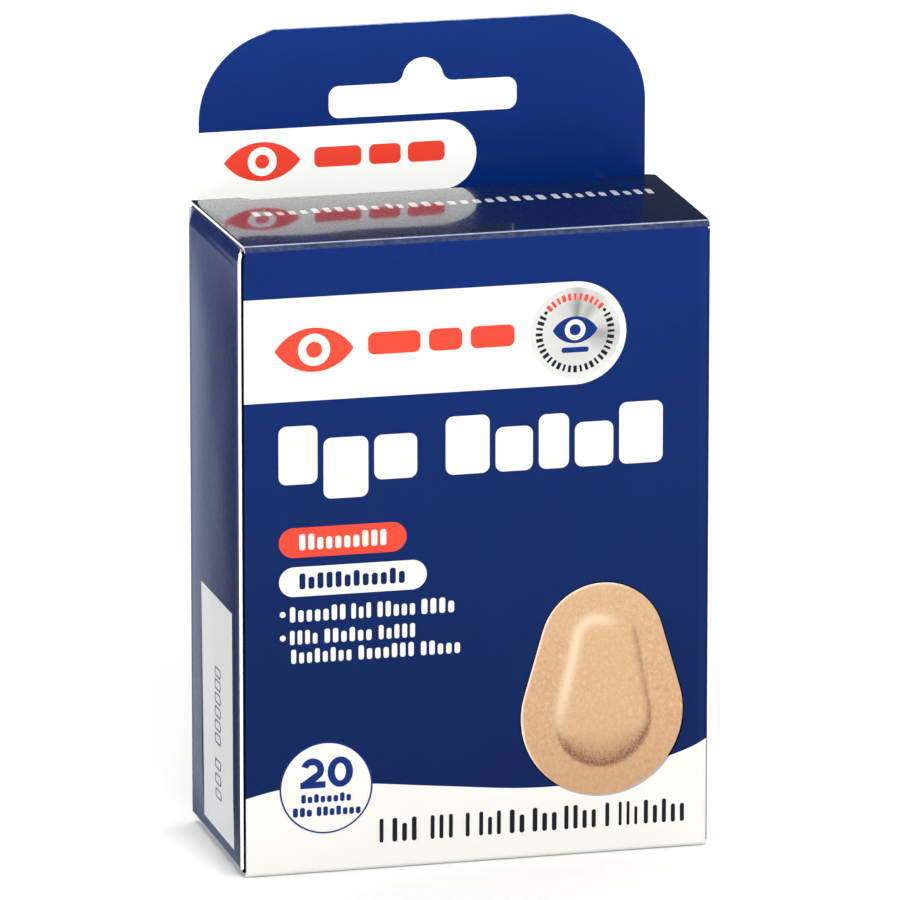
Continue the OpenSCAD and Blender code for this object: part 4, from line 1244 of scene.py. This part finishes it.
STACK = [LAST_Y - PITCH * (N_STACK - i) for i in range(N_STACK)]
KS = [1.7 * i + 0.4 for i in range(N_STACK)]
s_plan = rect_plan(PX0, PX1, PZ0, PZ1, 3.0, 2.45)
films = pouch_sheet("stacked_films_clear", s_plan, lambda u, v, k: film_off(u, v, k, 0.0), 0.08, M_FILM, "carton", "stacked_films", STACK, KS)
papers = pouch_sheet("stacked_papers_back", rect_plan(PX0, PX1, PZ0, PZ1, 6.0, 6.0), lambda u, v, k: 1.35 + 0 * u, 0.10, M_PAPER, "carton", "stacked_papers", STACK, KS)
backings = pouch_sheet("stacked_backings_cloth", Plan(egg(57, 80, 20.2, 12, at=(PXC, PATCH_Z)), (), (), (), 3.4), lambda u, v, k: back_off(u, v), 0.25, M_NONWOVEN, "carton", "stacked_backings", STACK, KS)
pads = pouch_sheet("stacked_pads_felt", Plan(egg(34, 57, 10.3, 10, at=(PXC, PAD_Z)), (), (), (), 3.4), lambda u, v, k: np.maximum(0.36, back_off(u, v) + 0.27), lambda u, v, k: 1.07 - np.maximum(0.36, back_off(u, v) + 0.27), M_FELT, "carton", "stacked_pads", STACK, KS)
lows = pouch_sheet("stacked_liners_lower_sheet", Plan(liner_outline(ll_lo, ll_hi), (), (), (), 12.0), lambda u, v, k: 1.08 + 0 * u, 0.10, M_LINER, "carton", "stacked_liners_lower", STACK, KS)
ups = pouch_sheet("stacked_liners_upper_sheet", Plan(liner_outline(lu_lo, lu_hi), (), (), (), 12.0), lambda u, v, k: 1.20 + 0 * u, 0.10, M_LINER, "carton", "stacked_liners_upper", STACK, KS)


# ------------------------------------------------------------------ stage: pale floor, soft light
fm = Mat("pale_floor")
fm.link(fm.ramp(fm.noise(3, 2), [(0.3, (0.93, 0.93, 0.925, 1)), (0.7, (0.95, 0.95, 0.945, 1))]), fm.b.inputs["Base Color"])
fm.put("Roughness", 0.9)
fm.put("Specular IOR Level", 0.1)
floor_mesh = bpy.data.meshes.new("floor")
n = 24
pts = [(x * 8.0 / n - 4.0, y * 8.0 / n - 4.0, -0.0001) for y in range(n + 1) for x in range(n + 1)]
floor_mesh.from_pydata(pts, [], [(j * (n + 1) + i, j * (n + 1) + i + 1, (j + 1) * (n + 1) + i + 1, (j + 1) * (n + 1) + i) for j in range(n) for i in range(n)])
floor_mesh.materials.append(fm.mat)
floor = bpy.data.objects.new("floor", floor_mesh)
bpy.context.scene.collection.objects.link(floor)
floor.visible_glossy = False

world = bpy.data.worlds.new("studio")
bpy.context.scene.world = world
world.use_nodes = True
wt = world.node_tree
wt.nodes.clear()
w_out = wt.nodes.new("ShaderNodeOutputWorld")
path = wt.nodes.new("ShaderNodeLightPath")
coord = wt.nodes.new("ShaderNodeTexCoord")
sep = wt.nodes.new("ShaderNodeSeparateXYZ")
wt.links.new(coord.outputs["Generated"], sep.inputs[0])


def wmath(op, a, b=None, clamp=False):
    n = wt.nodes.new("ShaderNodeMath")
    n.operation = op
    n.use_clamp = clamp
    for i, v in enumerate((a, b)):
        if v is None:
            continue
        if hasattr(v, "is_linked"):
            wt.links.new(v, n.inputs[i])
        else:
            n.inputs[i].default_value = v
    return n.outputs[0]


def wband(x, a, b):
    """0 at a, 1 at b, smooth between."""
    n = wt.nodes.new("ShaderNodeMapRange")
    n.interpolation_type = "SMOOTHSTEP"
    wt.links.new(x, n.inputs[0])
    for i, v in enumerate((a, b, 0.0, 1.0)):
        n.inputs[i + 1].default_value = v
    return n.outputs[0]


X, Y, Z = sep.outputs
turn = wmath("ARCTAN2", X, Y)                       # 0 straight back, negative to the left
# what the glossy board mirrors: a dim room, a pale low wall behind, a high bright band behind, a pale left side
low_back = wmath("MULTIPLY", wmath("MULTIPLY", wband(turn, -0.33, -0.12), wband(Y, 0.1, 0.5)), wband(Z, -0.16, -0.205))
high_band = wmath("MULTIPLY", wband(Z, 0.60, 0.72), wmath("MULTIPLY", wband(Y, -0.1, 0.25), wband(Z, 0.95, 0.85)))
left_wall = wmath("MULTIPLY", wband(X, -0.55, -0.9), 0.30)
front_low = wmath("MULTIPLY", wband(Y, -0.3, -0.8), wmath("MULTIPLY", wband(Z, -0.6, -0.3), 0.03))
gloss = wmath("ADD", wmath("ADD", wmath("MULTIPLY", low_back, 0.55), wmath("MULTIPLY", high_band, 0.32)), wmath("ADD", wmath("ADD", left_wall, front_low), 0.055))
bg_gloss = wt.nodes.new("ShaderNodeBackground")
wt.links.new(gloss, bg_gloss.inputs["Strength"])
bg_gloss.inputs["Color"].default_value = (0.84, 0.95, 1.20, 1)
bg_soft = wt.nodes.new("ShaderNodeBackground")
bg_soft.inputs["Color"].default_value = (1, 1, 1, 1)
bg_soft.inputs["Strength"].default_value = 0.42
bg_cam = wt.nodes.new("ShaderNodeBackground")
bg_cam.inputs["Color"].default_value = (1, 1, 1, 1)
bg_cam.inputs["Strength"].default_value = 1.0
m1 = wt.nodes.new("ShaderNodeMixShader")
wt.links.new(path.outputs["Is Glossy Ray"], m1.inputs[0])
wt.links.new(bg_soft.outputs[0], m1.inputs[1])
wt.links.new(bg_gloss.outputs[0], m1.inputs[2])
m2 = wt.nodes.new("ShaderNodeMixShader")
wt.links.new(path.outputs["Is Camera Ray"], m2.inputs[0])
wt.links.new(m1.outputs[0], m2.inputs[1])
wt.links.new(bg_cam.outputs[0], m2.inputs[2])
wt.links.new(m2.outputs[0], w_out.inputs[0])


def area(name, at, to, size, watts, spread=180, gloss=False):
    d = bpy.data.lights.new(name, "AREA")
    d.shape = "RECTANGLE"
    d.size, d.size_y = size
    d.energy = watts
    d.spread = math.radians(spread)
    o = bpy.data.objects.new(name, d)
    bpy.context.scene.collection.objects.link(o)
    o.location = at
    o.rotation_mode = "QUATERNION"
    o.rotation_quaternion = (Vector(to) - Vector(at)).to_track_quat("-Z", "Y")
    o.visible_glossy = gloss
    return o


area("key_front", (0.12, -0.95, 0.62), (0, 0, 0.08), (0.9, 0.7), 11.5)
area("fill_left", (-1.4, -0.1, 0.7), (0, 0, 0.05), (1.0, 0.9), 6.0)
area("floor_wash", (0.1, 0.5, 1.6), (0, 0.3, 0.0), (1.6, 1.6), 8.0)
area("floor_back", (0.12, 0.62, 0.8), (0.12, 0.62, 0.0), (1.5, 0.8), 3.6, 130)
bpy.context.scene.view_settings.view_transform = "Standard"
bpy.context.scene.view_settings.look = "None"
